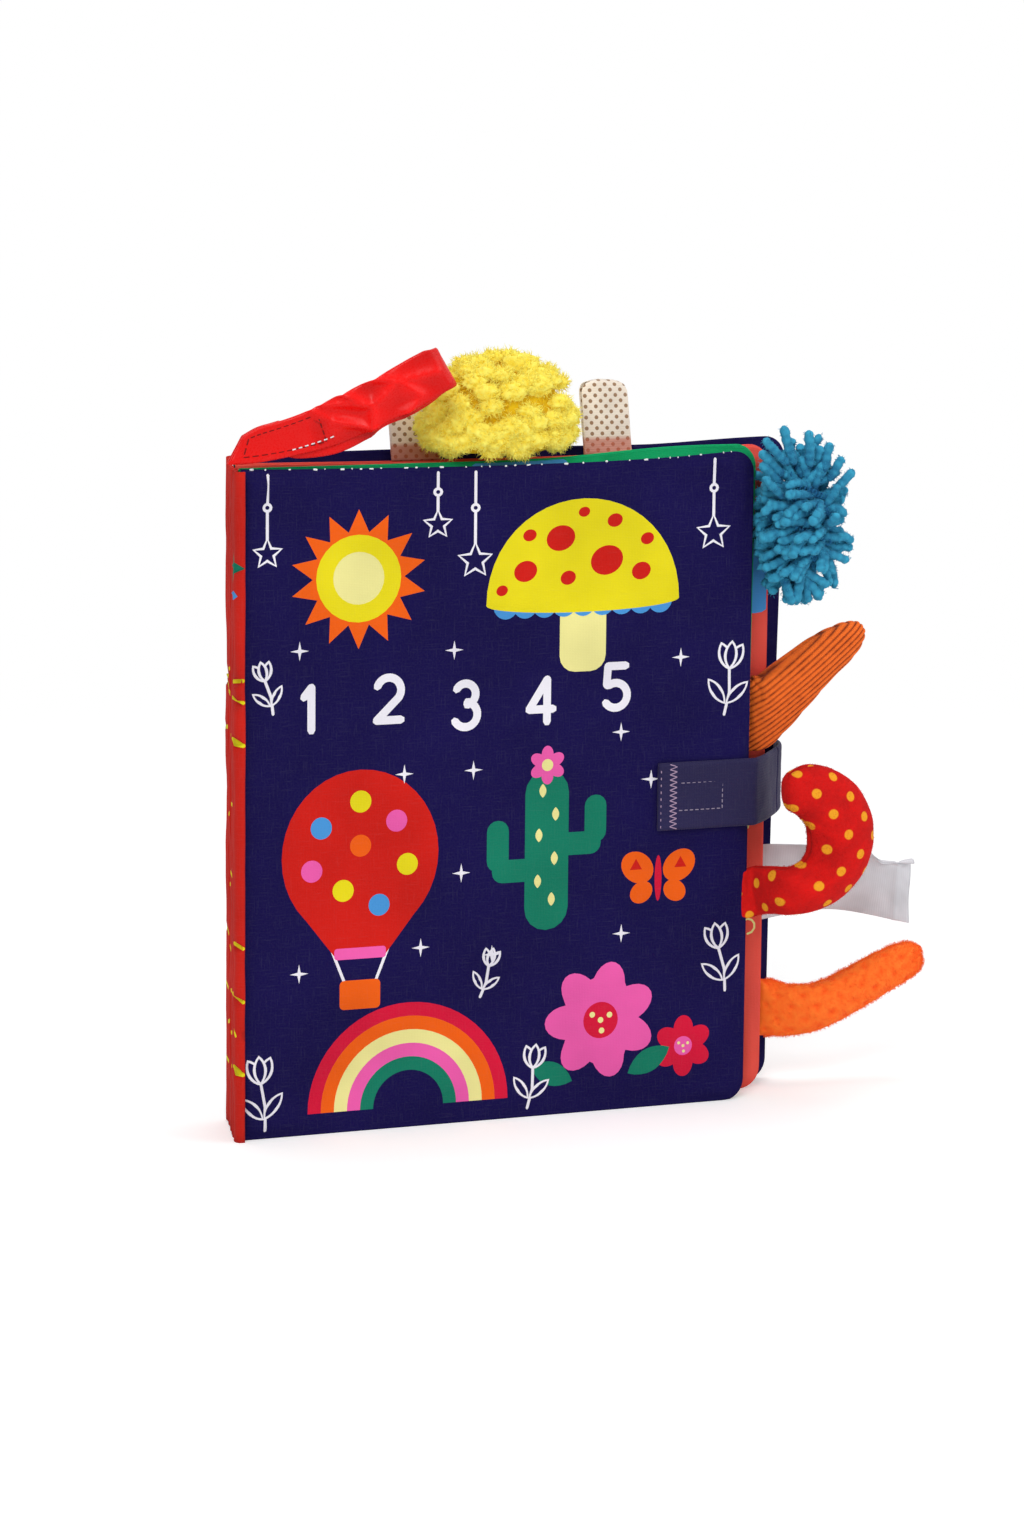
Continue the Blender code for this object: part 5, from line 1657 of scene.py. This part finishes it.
def fringed_pom():
    """The blue pom: soft chenille noodles that lie every way over a core of looped yarn."""
    low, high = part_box("fringed_pom")
    centre = (low + high) / 2 + Vector((-4.2, 0.0, 1.8)) * MM
    half = along_way((high - low) / 2, Vector((0.84, 1.0, 1.0)))
    dice = random.Random(8)
    core = Gathered()
    core.add(*round_form(centre, half * 0.6, 0.05, 3.0, 2.0, 4))
    noodles, roots, ways, strands = Gathered(), [], [], []
    left_limit = book(179.8 * MM, 0, 0).x + POM_NOODLE_RADIUS
    for out in spread_ways(200, 0.12, 5):
        tangent = noodle_way(out, dice)
        tangent -= out * tangent.dot(out) * 0.9
        edge = math.sqrt(out.x ** 2 + out.z ** 2)
        way = (out * (0.42 + 0.5 * edge ** 3) + tangent.normalized() * (1.0 - 0.3 * edge)).normalized()
        length = dice.uniform(9.0, 12.5) * MM
        start = centre + along_way(out, half * 0.7) - way * length * 0.3
        droop = Vector((0, 0, -1)) * dice.uniform(0.0, 2.2) * MM
        curl = scattered(dice, 1, 1, 1) * 1.5 * MM
        strands.append((start, way * length, droop, curl))
    for root_x, root_z, tip_x, tip_z in POM_LONG_NOODLES:
        start = book(root_x * MM, 0, root_z * MM)
        reach = book(tip_x * MM, 0, tip_z * MM) - start
        start.y = centre.y + dice.uniform(-2.5, 2.5) * MM
        curl = scattered(dice, 0.4, 0.8, 0.4) * MM
        strands.append((start + POM_LONG_SHIFT, reach, Vector(), curl))
    for place, (start, reach, droop, curl) in enumerate(strands):
        length = reach.length
        points = []
        for share in np.linspace(0, 1, NOODLE_POINTS):
            point = start + reach * share + droop * share * share + curl * math.sin(share * 2.4)
            if COVER.front - POM_NOODLE_RADIUS < point.y < LEAF_2.front:
                point.x = max(point.x, left_limit)
            points.append(point)
        radius = POM_NOODLE_RADIUS * dice.uniform(0.88, 1.12)
        turn = dice.uniform(0, TURN)
        shape, levels = [], []
        for share in np.linspace(0, 1, NOODLE_POINTS):
            from_tip = (1 - share) * length / radius
            blunt = math.sqrt(max(1 - (1 - min(from_tip, 1.0)) ** 2, 0.09))
            knob = math.sin(TURN * share * length / POM_KNOB_PITCH + turn)
            shape.append(min(1.0, 0.5 + 4 * share) * blunt * (1 + 0.045 * knob))
            # Painted shade: each noodle's level rises from its root inside the pom to its tip, so its root is
            # painted darker.
            levels.append(0.1 + 0.6 * share + 0.1 * knob)
        noodles.add(*tube(points, [radius * s for s in shape], 14, levels, 0.2, place * 3.7))
        for _ in range(100):
            step = dice.uniform(0.8, 23.6)
            point = points[int(step)].lerp(points[int(step) + 1], step % 1)
            along = (points[int(step) + 1] - points[int(step)]).normalized()
            side = along.orthogonal().normalized()
            angle = dice.uniform(0, TURN)
            normal = side * math.cos(angle) + along.cross(side) * math.sin(angle)
            roots.append(point + normal * radius * 0.85)
            ways.append((normal + along * dice.gauss(0.1, 0.4)).normalized())
    yarn = Gathered()
    for way in spread_ways(40, 0.1, 19):
        start = centre + along_way(way, half * 0.72)
        across = way.cross(Vector((0.3, 0.2, 1.0))).normalized()
        yarn.add(*coil_of_yarn(start, way, across, 6, 36, 1.0 * MM, 0.6))
    pieces = [core.piece("fringed_pom_core", "pom_deep"), noodles.piece("fringed_pom_noodles", "pom"),
              yarn.piece("fringed_pom_yarn", "pom_deep"),
              fibres("fringed_pom_fibres", roots, ways, "pom", 0.95 * MM, 0.11 * MM, 0.4, 3)]
    finish_toy(pieces, 0.7, "blue_chenille", "pom", "fringed_pom", "pom_tab")


# Stuffed tails
SIM_FRAMES = 20
TAIL_SIDES = 28
TAIL_STATIONS = 34
SLIM_BEFORE_FILLING = 0.86
# Reach, rise, half width and half depth of two tails, in millimetres
CORD_SIZE = (40.5, 23.5, 13.4, 6.5)
PLUSH_SIZE = (58.0, 12.5, 10.6, 6.2)
PLUSH_LEAN = 5.0
# Shares of these at stations from root to tip, and the plush tail's share of its lean
CORD_TAIL = ((0.0, -0.08, 0.96, 0.3), (0.07, -0.05, 0.98, 0.48), (0.2, 0.08, 0.84, 0.8), (0.42, 0.34, 0.7, 1.0),
             (0.62, 0.57, 0.6, 0.98), (0.8, 0.76, 0.51, 0.85), (0.93, 0.92, 0.37, 0.66), (1.0, 1.02, 0.2, 0.34))
PLUSH_TAIL = ((0.0, 0.0, 1.0, 0.3, 0.0), (0.05, -0.01, 1.0, 0.48, 0.12), (0.14, -0.05, 0.97, 0.6, 0.5),
              (0.3, 0.0, 0.9, 0.95, 0.9), (0.46, 0.2, 0.83, 1.0, 1.0), (0.64, 0.5, 0.76, 0.97, 1.0),
              (0.82, 0.8, 0.68, 0.92, 1.0), (0.94, 0.97, 0.57, 0.76, 1.0), (1.0, 1.04, 0.32, 0.42, 1.0))
# The way to the curl, as shares: along, lean, half width and half depth; then the curl's thickness
CURL_LEAD = ((0.0, 0.0, 0.8, 0.2), (0.22, 0.08, 0.8, 0.32), (0.48, 0.42, 0.78, 0.55), (0.74, 0.8, 0.76, 0.78))
CURL_BEND = (0.78, 0.86, 0.96, 1.04, 1.07, 1.04, 0.97, 0.84, 0.56)
CURL_RADIUS = 17.2 * MM
CURL_OUT = 9.2 * MM
CURL_LEAN = 15.4 * MM
CURL_HALF_WIDTH = 11.2 * MM
CURL_HALF_DEPTH = 9.2 * MM
CURL_START = math.radians(-84)
CURL_TURN = math.radians(177)
ROOT_GAP = 0.75 * MM
ROOT_TUCK = 2.2 * MM
# Shares of a flat print that unroll round the outer and the inner side of a bend
OUTER_UNROLLING = 1.0
INNER_UNROLLING = 0.3


def seam_root(panel, height):
    """Where a tail leaves the seam of its panel."""
    return Vector((panel.right + ROOT_GAP, panel.middle, height))


def cord_stations():
    root = seam_root(LEAF_1, 132 * MM)
    reach, climb, wide, deep = CORD_SIZE
    return [(root + Vector((reach * a, 0.0, climb * b)) * MM, wide * MM * w, deep * MM * d)
            for a, b, w, d in CORD_TAIL]


def plush_stations():
    root = seam_root(LEAF_3, 26.5 * MM)
    reach, climb, wide, deep = PLUSH_SIZE
    return [(root + Vector((reach * a, -PLUSH_LEAN * lean, climb * b)) * MM, wide * MM * w, deep * MM * d)
            for a, b, w, d, lean in PLUSH_TAIL]


def curl_stations():
    root = seam_root(COVER, 70.4 * MM)
    centre = root + Vector((CURL_OUT, -CURL_LEAN, CURL_RADIUS * 1.22))
    bend_start = centre + Vector((math.cos(CURL_START), 0.0, math.sin(CURL_START))) * CURL_RADIUS
    stations = []
    for way, lean, width, depth in CURL_LEAD:
        place = root + Vector(((bend_start.x - root.x) * way, -CURL_LEAN * lean, (bend_start.z - root.z) * way))
        stations.append((place, CURL_HALF_WIDTH * width, CURL_HALF_DEPTH * depth))
    for step, share in enumerate(CURL_BEND):
        angle = CURL_START + CURL_TURN * step / (len(CURL_BEND) - 1)
        place = centre + Vector((math.cos(angle), 0.0, math.sin(angle))) * CURL_RADIUS
        stations.append((place, CURL_HALF_WIDTH * share, CURL_HALF_DEPTH * share))
    return stations


def tail_shell(name, stations):
    """A tail's skin as sewn from two cloths, from inside the leaf's seam to its closed tip.

    Its "print" is each point's place on the flat cloth, unrolled along the tail and out round its sides.
    """
    table = [(*centre, width, depth) for centre, width, depth in stations]
    tucked = (table[0][0] - ROOT_TUCK, table[0][1], table[0][2], table[0][3], 0.6 * MM)
    rows = rows_between([tucked] + table, TAIL_STATIONS)
    vertices, flat, prints = [], [], []
    length = unrolled = 0.0
    root_rows = 4 / len(table) * TAIL_STATIONS
    for place, row in enumerate(rows):
        centre = Vector(row[:3])
        before, after = Vector(rows[max(place - 1, 0)][:3]), Vector(rows[min(place + 1, len(rows) - 1)][:3])
        length += (centre - before).length
        unrolled += math.copysign(math.hypot(centre.x - before.x, centre.y - before.y), centre.x - before.x)
        along = Vector((1, 0, 0)).lerp((after - before).normalized(), min(place / root_rows, 1.0)).normalized()
        upward = along.cross(Vector((0.0, 1.0, 0.0))).normalized()
        outward = upward.cross(along)
        half_width, half_depth = row[3], max(row[4], 0.5 * MM) * SLIM_BEFORE_FILLING
        ring = []
        for side in range(TAIL_SIDES):
            angle = TURN * side / TAIL_SIDES
            depth = math.copysign(abs(math.cos(angle)) ** 0.85, math.cos(angle))
            ring.append(centre + upward * half_width * math.sin(angle) + outward * half_depth * depth)
        lowest = 3 * TAIL_SIDES // 4
        runs = [0.0]
        for step in range(TAIL_SIDES // 2):
            here, ahead = ring[(lowest + step) % TAIL_SIDES], ring[(lowest + step + 1) % TAIL_SIDES]
            runs.append(runs[-1] + (ahead - here).length)
        for side in range(TAIL_SIDES):
            steps = (side - lowest) % TAIL_SIDES
            run = runs[min(steps, TAIL_SIDES - steps)]
            flat.append((length, run, runs[-1]))
            straight = half_width * math.sin(TURN * side / TAIL_SIDES)
            unrolling = run - runs[-1] / 2 - straight
            across = straight + unrolling * (OUTER_UNROLLING if straight < 0 else INNER_UNROLLING)
            prints.append((unrolled + upward.x * across, centre.z + upward.z * across, 0.0))
        vertices.extend(ring)
    faces = ring_faces(len(rows), TAIL_SIDES)
    last = len(vertices)
    for row, turned in ((0, True), (len(rows) - 1, False)):
        ring = range(row * TAIL_SIDES, (row + 1) * TAIL_SIDES)
        middle = sum((vertices[i] for i in ring), Vector()) / TAIL_SIDES
        way = (middle - Vector(rows[abs(row - 1)][:3])).normalized()
        vertices.append(middle + way * (0.8 * MM if row else 0.0))
        flat.append((flat[row * TAIL_SIDES][0], flat[row * TAIL_SIDES][2] / 2, flat[row * TAIL_SIDES][2]))
        prints.append(tuple(np.mean([prints[i] for i in ring], axis=0)))
        for side in ring:
            following = side + 1 if side + 1 in ring else ring[0]
            faces.append((following, side, last) if turned else (side, following, last))
        last += 1
    level = [0.0] * len(vertices)
    piece = mesh_piece(name, vertices, faces, ["navy"], cloth=flat, level=level, print=prints)
    facing_out(piece)
    return piece


def swell(piece, pressure, most, shrink, pinned):
    """Fill a sewn skin by cloth simulation; pinned points stay, and the others move by the most at most."""
    scene = bpy.context.scene
    before = coordinates(piece.data)
    group = piece.vertex_groups.new(name="pinned")
    group.add([int(i) for i in pinned], 1.0, "REPLACE")
    cloth = piece.modifiers.new("filling", "CLOTH")
    wanted = {"quality": 6, "mass": 0.15, "tension_stiffness": 12, "compression_stiffness": 12,
              "shear_stiffness": 4, "bending_stiffness": 0.05, "use_pressure": True,
              "uniform_pressure_force": pressure, "shrink_min": shrink, "vertex_group_mass": "pinned"}
    for setting, value in wanted.items():
        setattr(cloth.settings, setting, value)
    cloth.settings.effector_weights.gravity = 0.0
    cloth.collision_settings.use_collision = False
    cloth.point_cache.frame_start = 1
    cloth.point_cache.frame_end = SIM_FRAMES
    for frame_number in range(1, SIM_FRAMES + 1):
        scene.frame_set(frame_number)
    evaluated = piece.evaluated_get(bpy.context.evaluated_depsgraph_get())
    moved = coordinates(evaluated.data) - before
    piece.modifiers.remove(cloth)
    piece.vertex_groups.clear()
    scene.frame_set(1)
    reach = np.linalg.norm(moved, axis=1)
    keep_share = most / np.maximum(reach, most)
    set_coordinates(piece.data, before + moved * keep_share[:, None])


def refine(piece, levels):
    """Smooth subdivision, applied."""
    modifier = piece.modifiers.new("fine", "SUBSURF")
    modifier.levels = levels
    modifier.render_levels = levels
    evaluated = piece.evaluated_get(bpy.context.evaluated_depsgraph_get())
    fine = bpy.data.meshes.new_from_object(evaluated)
    fine.name = piece.name + "_fine"
    piece.modifiers.clear()
    piece.data = fine


def finish_tail(piece, name, panel, look, surface, cut_flat):
    """Give a tail its pile and its material, and hide the imported cloth and stuffing that it replaces.

    A print that was cut flat lies in the tail's own plane, turned by cut_flat degrees.
    """
    refine(piece, 3)
    mesh = piece.data
    flat, places, outward = read_layer(mesh, "cloth"), coordinates(mesh), normals(mesh)
    lift, level = surface(flat, places)
    set_coordinates(mesh, places + outward * lift[:, None])
    if cut_flat:
        turned = placed([(x, z) for x, z, _ in read_layer(mesh, "print")], 0.0, 0.0, cut_flat)
        set_layer(mesh, "cloth", [(x, z, 0.0) for x, z in turned])
    mesh.attributes.remove(mesh.attributes["print"])
    set_layer(mesh, "level", level)
    mesh.materials.clear()
    mesh.materials.append(LOOKS[look])
    mesh.shade_smooth()
    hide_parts(name + "_cloth", name + "_stuffing")
    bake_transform(piece)


def edge_groove(flat):
    """1 at a tail's two seams and 0 away from them."""
    from_seam = np.minimum(flat[:, 1], flat[:, 2] - flat[:, 1])
    return np.exp(-(np.maximum(from_seam, 0) / (0.9 * MM)) ** 2)


def waves(places, size):
    """Smooth noise at many places, with waves of a size."""
    return np.array([noise.noise(Vector(place) / size) for place in places])


WALE = 1.65 * MM
WALE_SLOPE = math.radians(37)


def corduroy_surface(flat, places):
    """Rounded straight wales along the tail, with painted shade: dark in the grooves between wales and along
    the seams, light on the wale tops.
    """
    across = places[:, 2] * math.cos(WALE_SLOPE) - places[:, 0] * math.sin(WALE_SLOPE)
    phase = (across / WALE) % 1.0
    ridge = np.sin(np.pi * phase) ** 0.7
    groove = edge_groove(flat)
    wobble = waves(places, 5 * MM)
    lift = (0.55 * ridge - 0.25) * MM * (1 - groove) - 0.5 * MM * groove + 0.08 * MM * wobble
    # Painted shade: the level is high on the wale tops and low in the grooves and seams.
    level = np.clip(ridge * 1.25 - 0.15 + 0.12 * wobble - 0.4 * groove, 0, 1)
    return lift, level


def plush_surface(flat, places):
    """Soft pile with small pressed dots; the dots and the seams are painted darker, as painted shade."""
    pitch = 8.4 * MM
    column = flat[:, 0] / pitch
    row = flat[:, 1] / pitch
    near = np.full(len(flat), 9.0)
    for shift in (0.0, 0.5):
        across = (column + shift) % 1.0 - 0.5
        upward = (row + shift) % 1.0 - 0.5
        near = np.minimum(near, np.hypot(across, upward) * pitch / MM)
    dot = np.exp(-(near / 1.3) ** 2)
    groove = edge_groove(flat)
    tuft = waves(places, 2.2 * MM)
    lift = (0.2 * tuft - 0.5 * dot) * MM - 0.5 * MM * groove
    # Painted shade: the level is lower in the pressed dots and along the seams.
    level = np.clip(0.8 + 0.3 * tuft - 0.5 * dot - 0.4 * groove, 0, 1)
    return lift, level


def velour_surface(flat, places):
    """Short even pile with a few soft creases; their hollows and the seams are painted darker, as painted
    shade.
    """
    groove = edge_groove(flat)
    crease = waves(places, 6 * MM)
    fine = waves(places, 1.4 * MM)
    lift = (0.22 * crease + 0.05 * fine) * MM - 0.55 * MM * groove
    # Painted shade: the level follows the creases' relief, lower in their hollows and along the seams.
    level = np.clip(0.6 + 0.5 * crease + 0.15 * fine - 0.5 * groove, 0, 1)
    return lift, level


def skin_fibres(name, skin, panel, slot, look, count, length, width):
    """Fine hairs that stand out from a tail's skin, from a little past its root on."""
    dice = np.random.default_rng(15)
    places, outward = coordinates(skin.data), normals(skin.data)
    chosen = dice.choice(np.flatnonzero(places[:, 0] > panel.right + 3 * MM), count)
    jitter = dice.normal(size=(count, 3))
    roots = places[chosen] + jitter * 0.12 * MM
    ways = outward[chosen] + jitter * 0.45
    ways /= np.linalg.norm(ways, axis=1)[:, None]
    settle(fibres(name + "_fibres", roots, ways, look, length, width, 0.4, 16), name)


def tail(name, panel, stations, shrink, look, surface, slot, cut_flat=0.0, hairs=None):
    """A stuffed tail, with the hairs of its pile where they show."""
    skin = tail_shell(name + "_skin", stations)
    swell(skin, 30.0, 3.0 * MM, shrink, range(2 * TAIL_SIDES))
    finish_tail(skin, name, panel, look, surface, cut_flat)
    if hairs:
        skin_fibres(name, skin, panel, slot, *hairs)


# Stage: where the camera stands from the corner of spine and front face, and how it looks
CAMERA_FROM_CORNER = Vector((-0.4910, -1.5013, 0.4025))
CAMERA_YAW = math.radians(21.24)
CAMERA_PITCH = math.radians(10.0)
CAMERA_ROLL = math.radians(0.56)
LENS_PER_LONG_SIDE = 5000 / 1536
SENSOR = 36.0
WHITE = (1.0, 1.0, 1.0, 1.0)
FLOOR_REACH = 6.0


def set_camera():
    """The camera at the photo's viewing angle."""
    forward = Vector((math.sin(CAMERA_YAW) * math.cos(CAMERA_PITCH),
                      math.cos(CAMERA_YAW) * math.cos(CAMERA_PITCH), -math.sin(CAMERA_PITCH)))
    level_right = Vector((math.cos(CAMERA_YAW), -math.sin(CAMERA_YAW), 0.0))
    level_up = level_right.cross(forward)
    right = level_right * math.cos(CAMERA_ROLL) + level_up * math.sin(CAMERA_ROLL)
    up = level_up * math.cos(CAMERA_ROLL) - level_right * math.sin(CAMERA_ROLL)
    camera = add_object("camera", bpy.data.cameras.new("camera"))
    camera.data.sensor_width = SENSOR
    camera.data.lens = SENSOR * LENS_PER_LONG_SIDE
    camera.data.clip_end = 50.0
    place = Vector((SPINE_X, COVER.front, 0.0)) + CAMERA_FROM_CORNER
    rotation = Matrix((right, up, -forward)).transposed().to_4x4()
    camera.matrix_world = Matrix.Translation(place) @ rotation
    bpy.context.scene.camera = camera


def area_light(name, place, target, size, power):
    light = add_object(name, bpy.data.lights.new(name, "AREA"))
    light.data.shape = "DISK"
    light.data.size = size
    light.data.energy = power
    light.location = place
    light.rotation_euler = (Vector(target) - Vector(place)).to_track_quat("-Z", "Y").to_euler()


def set_lights():
    """Plain soft studio light, and a world that the camera sees as white."""
    world = bpy.data.worlds.new("studio")
    bpy.context.scene.world = world
    world.use_nodes = True
    nodes = Nodes(world.node_tree)
    rays = nodes.add("LightPath", {}).outputs
    seen = nodes.math("MAXIMUM", rays["Is Camera Ray"], rays["Is Glossy Ray"])
    seen = nodes.math("MAXIMUM", seen, rays["Is Transmission Ray"])
    strength = nodes.remap(seen, 0.0, 1.0, 0.42, 1.0)
    nodes.fill(world.node_tree.nodes["Background"], {"Color": WHITE, "Strength": strength})
    middle = (0.0, 0.0, 0.12)
    area_light("key_light", (-0.9, -1.5, 1.5), middle, 1.0, 18.5)
    area_light("fill_light", (1.4, -1.0, 0.9), middle, 1.2, 7.2)
    area_light("top_light", (0.1, 0.2, 1.8), middle, 1.0, 9.0)


def set_floor():
    """A plain pale floor that shows nearly white and keeps the book's shadow."""
    mesh = bpy.data.meshes.new("floor")
    corners = [(x * FLOOR_REACH, y * FLOOR_REACH, 0) for x, y in ((-1, -1), (1, -1), (1, 1), (-1, 1))]
    mesh.from_pydata(corners, [], [(0, 1, 2, 3)])
    floor = add_object("floor", mesh)
    material = bpy.data.materials.new("pale_floor")
    material.use_nodes = True
    made = material.node_tree.nodes
    nodes = Nodes(material.node_tree)
    seen = nodes.add("LightPath", {}).outputs["Is Camera Ray"]
    shader = made["Principled BSDF"]
    nodes.fill(shader, {"Base Color": (0.9, 0.9, 0.9, 1.0), "Roughness": 0.9, "Emission Color": WHITE,
                        "Emission Strength": nodes.times(seen, 0.3)})
    place = nodes.add("TexCoord", {}).outputs["Object"]
    away = nodes.add("VectorMath", {0: place}, operation="LENGTH").outputs["Value"]
    faded = nodes.add("MapRange", {0: away, 1: 0.28, 2: 0.95}, interpolation_type="SMOOTHSTEP").outputs[0]
    white = nodes.add("Emission", {"Color": WHITE, "Strength": 1.0}).outputs[0]
    mixed = nodes.add("MixShader", {0: nodes.times(seen, faded), 1: shader.outputs[0], 2: white})
    nodes.fill(made["Material Output"], {"Surface": mixed.outputs[0]})
    mesh.materials.append(material)


bpy.context.scene.view_settings.view_transform = "Standard"
set_camera()
set_lights()
set_floor()
FULLNESS = {panel.name: simulated_fullness(panel) for panel in PANELS}
for panel in PANELS:
    for side in (-1, 1):
        panel_cloth(panel, side)
    seam_welt(panel)
overlock(COVER)
spine_seam(COVER)
for index in range(len(PANELS) - 1):
    spine_cloth(index)
closing_strap()
patch("hook_patch", Vector((0, 1, 0)), Vector((-1, 0, 0)), Vector((-1.7, 0, 0)) * MM, "strap_end", 0.25, 5)
patch("loop_patch", Vector((-1, 0, 0)), Vector((0, 1, 0)), Vector((-2.4, 0, 0)) * MM, "back_cover", 0.7, 6)
carrying_loop()
ribbon("ribbon_left", 0.4)
ribbon("ribbon_right", 1.0)
side_tag()
chenille_ball()
fringed_pom()
tail("corduroy_tail", LEAF_1, cord_stations(), -0.02, "corduroy", corduroy_surface, "orange_corduroy")
tail("plush_tail", LEAF_3, plush_stations(), -0.02, "plush", plush_surface, "orange_plush",
     hairs=("plush", 9000, 0.9 * MM, 0.07 * MM))
tail("dotted_tail", COVER, curl_stations(), -0.03, "velour", velour_surface, "red_velour", 14,
     hairs=("velour_pile", 5000, 0.45 * MM, 0.05 * MM))
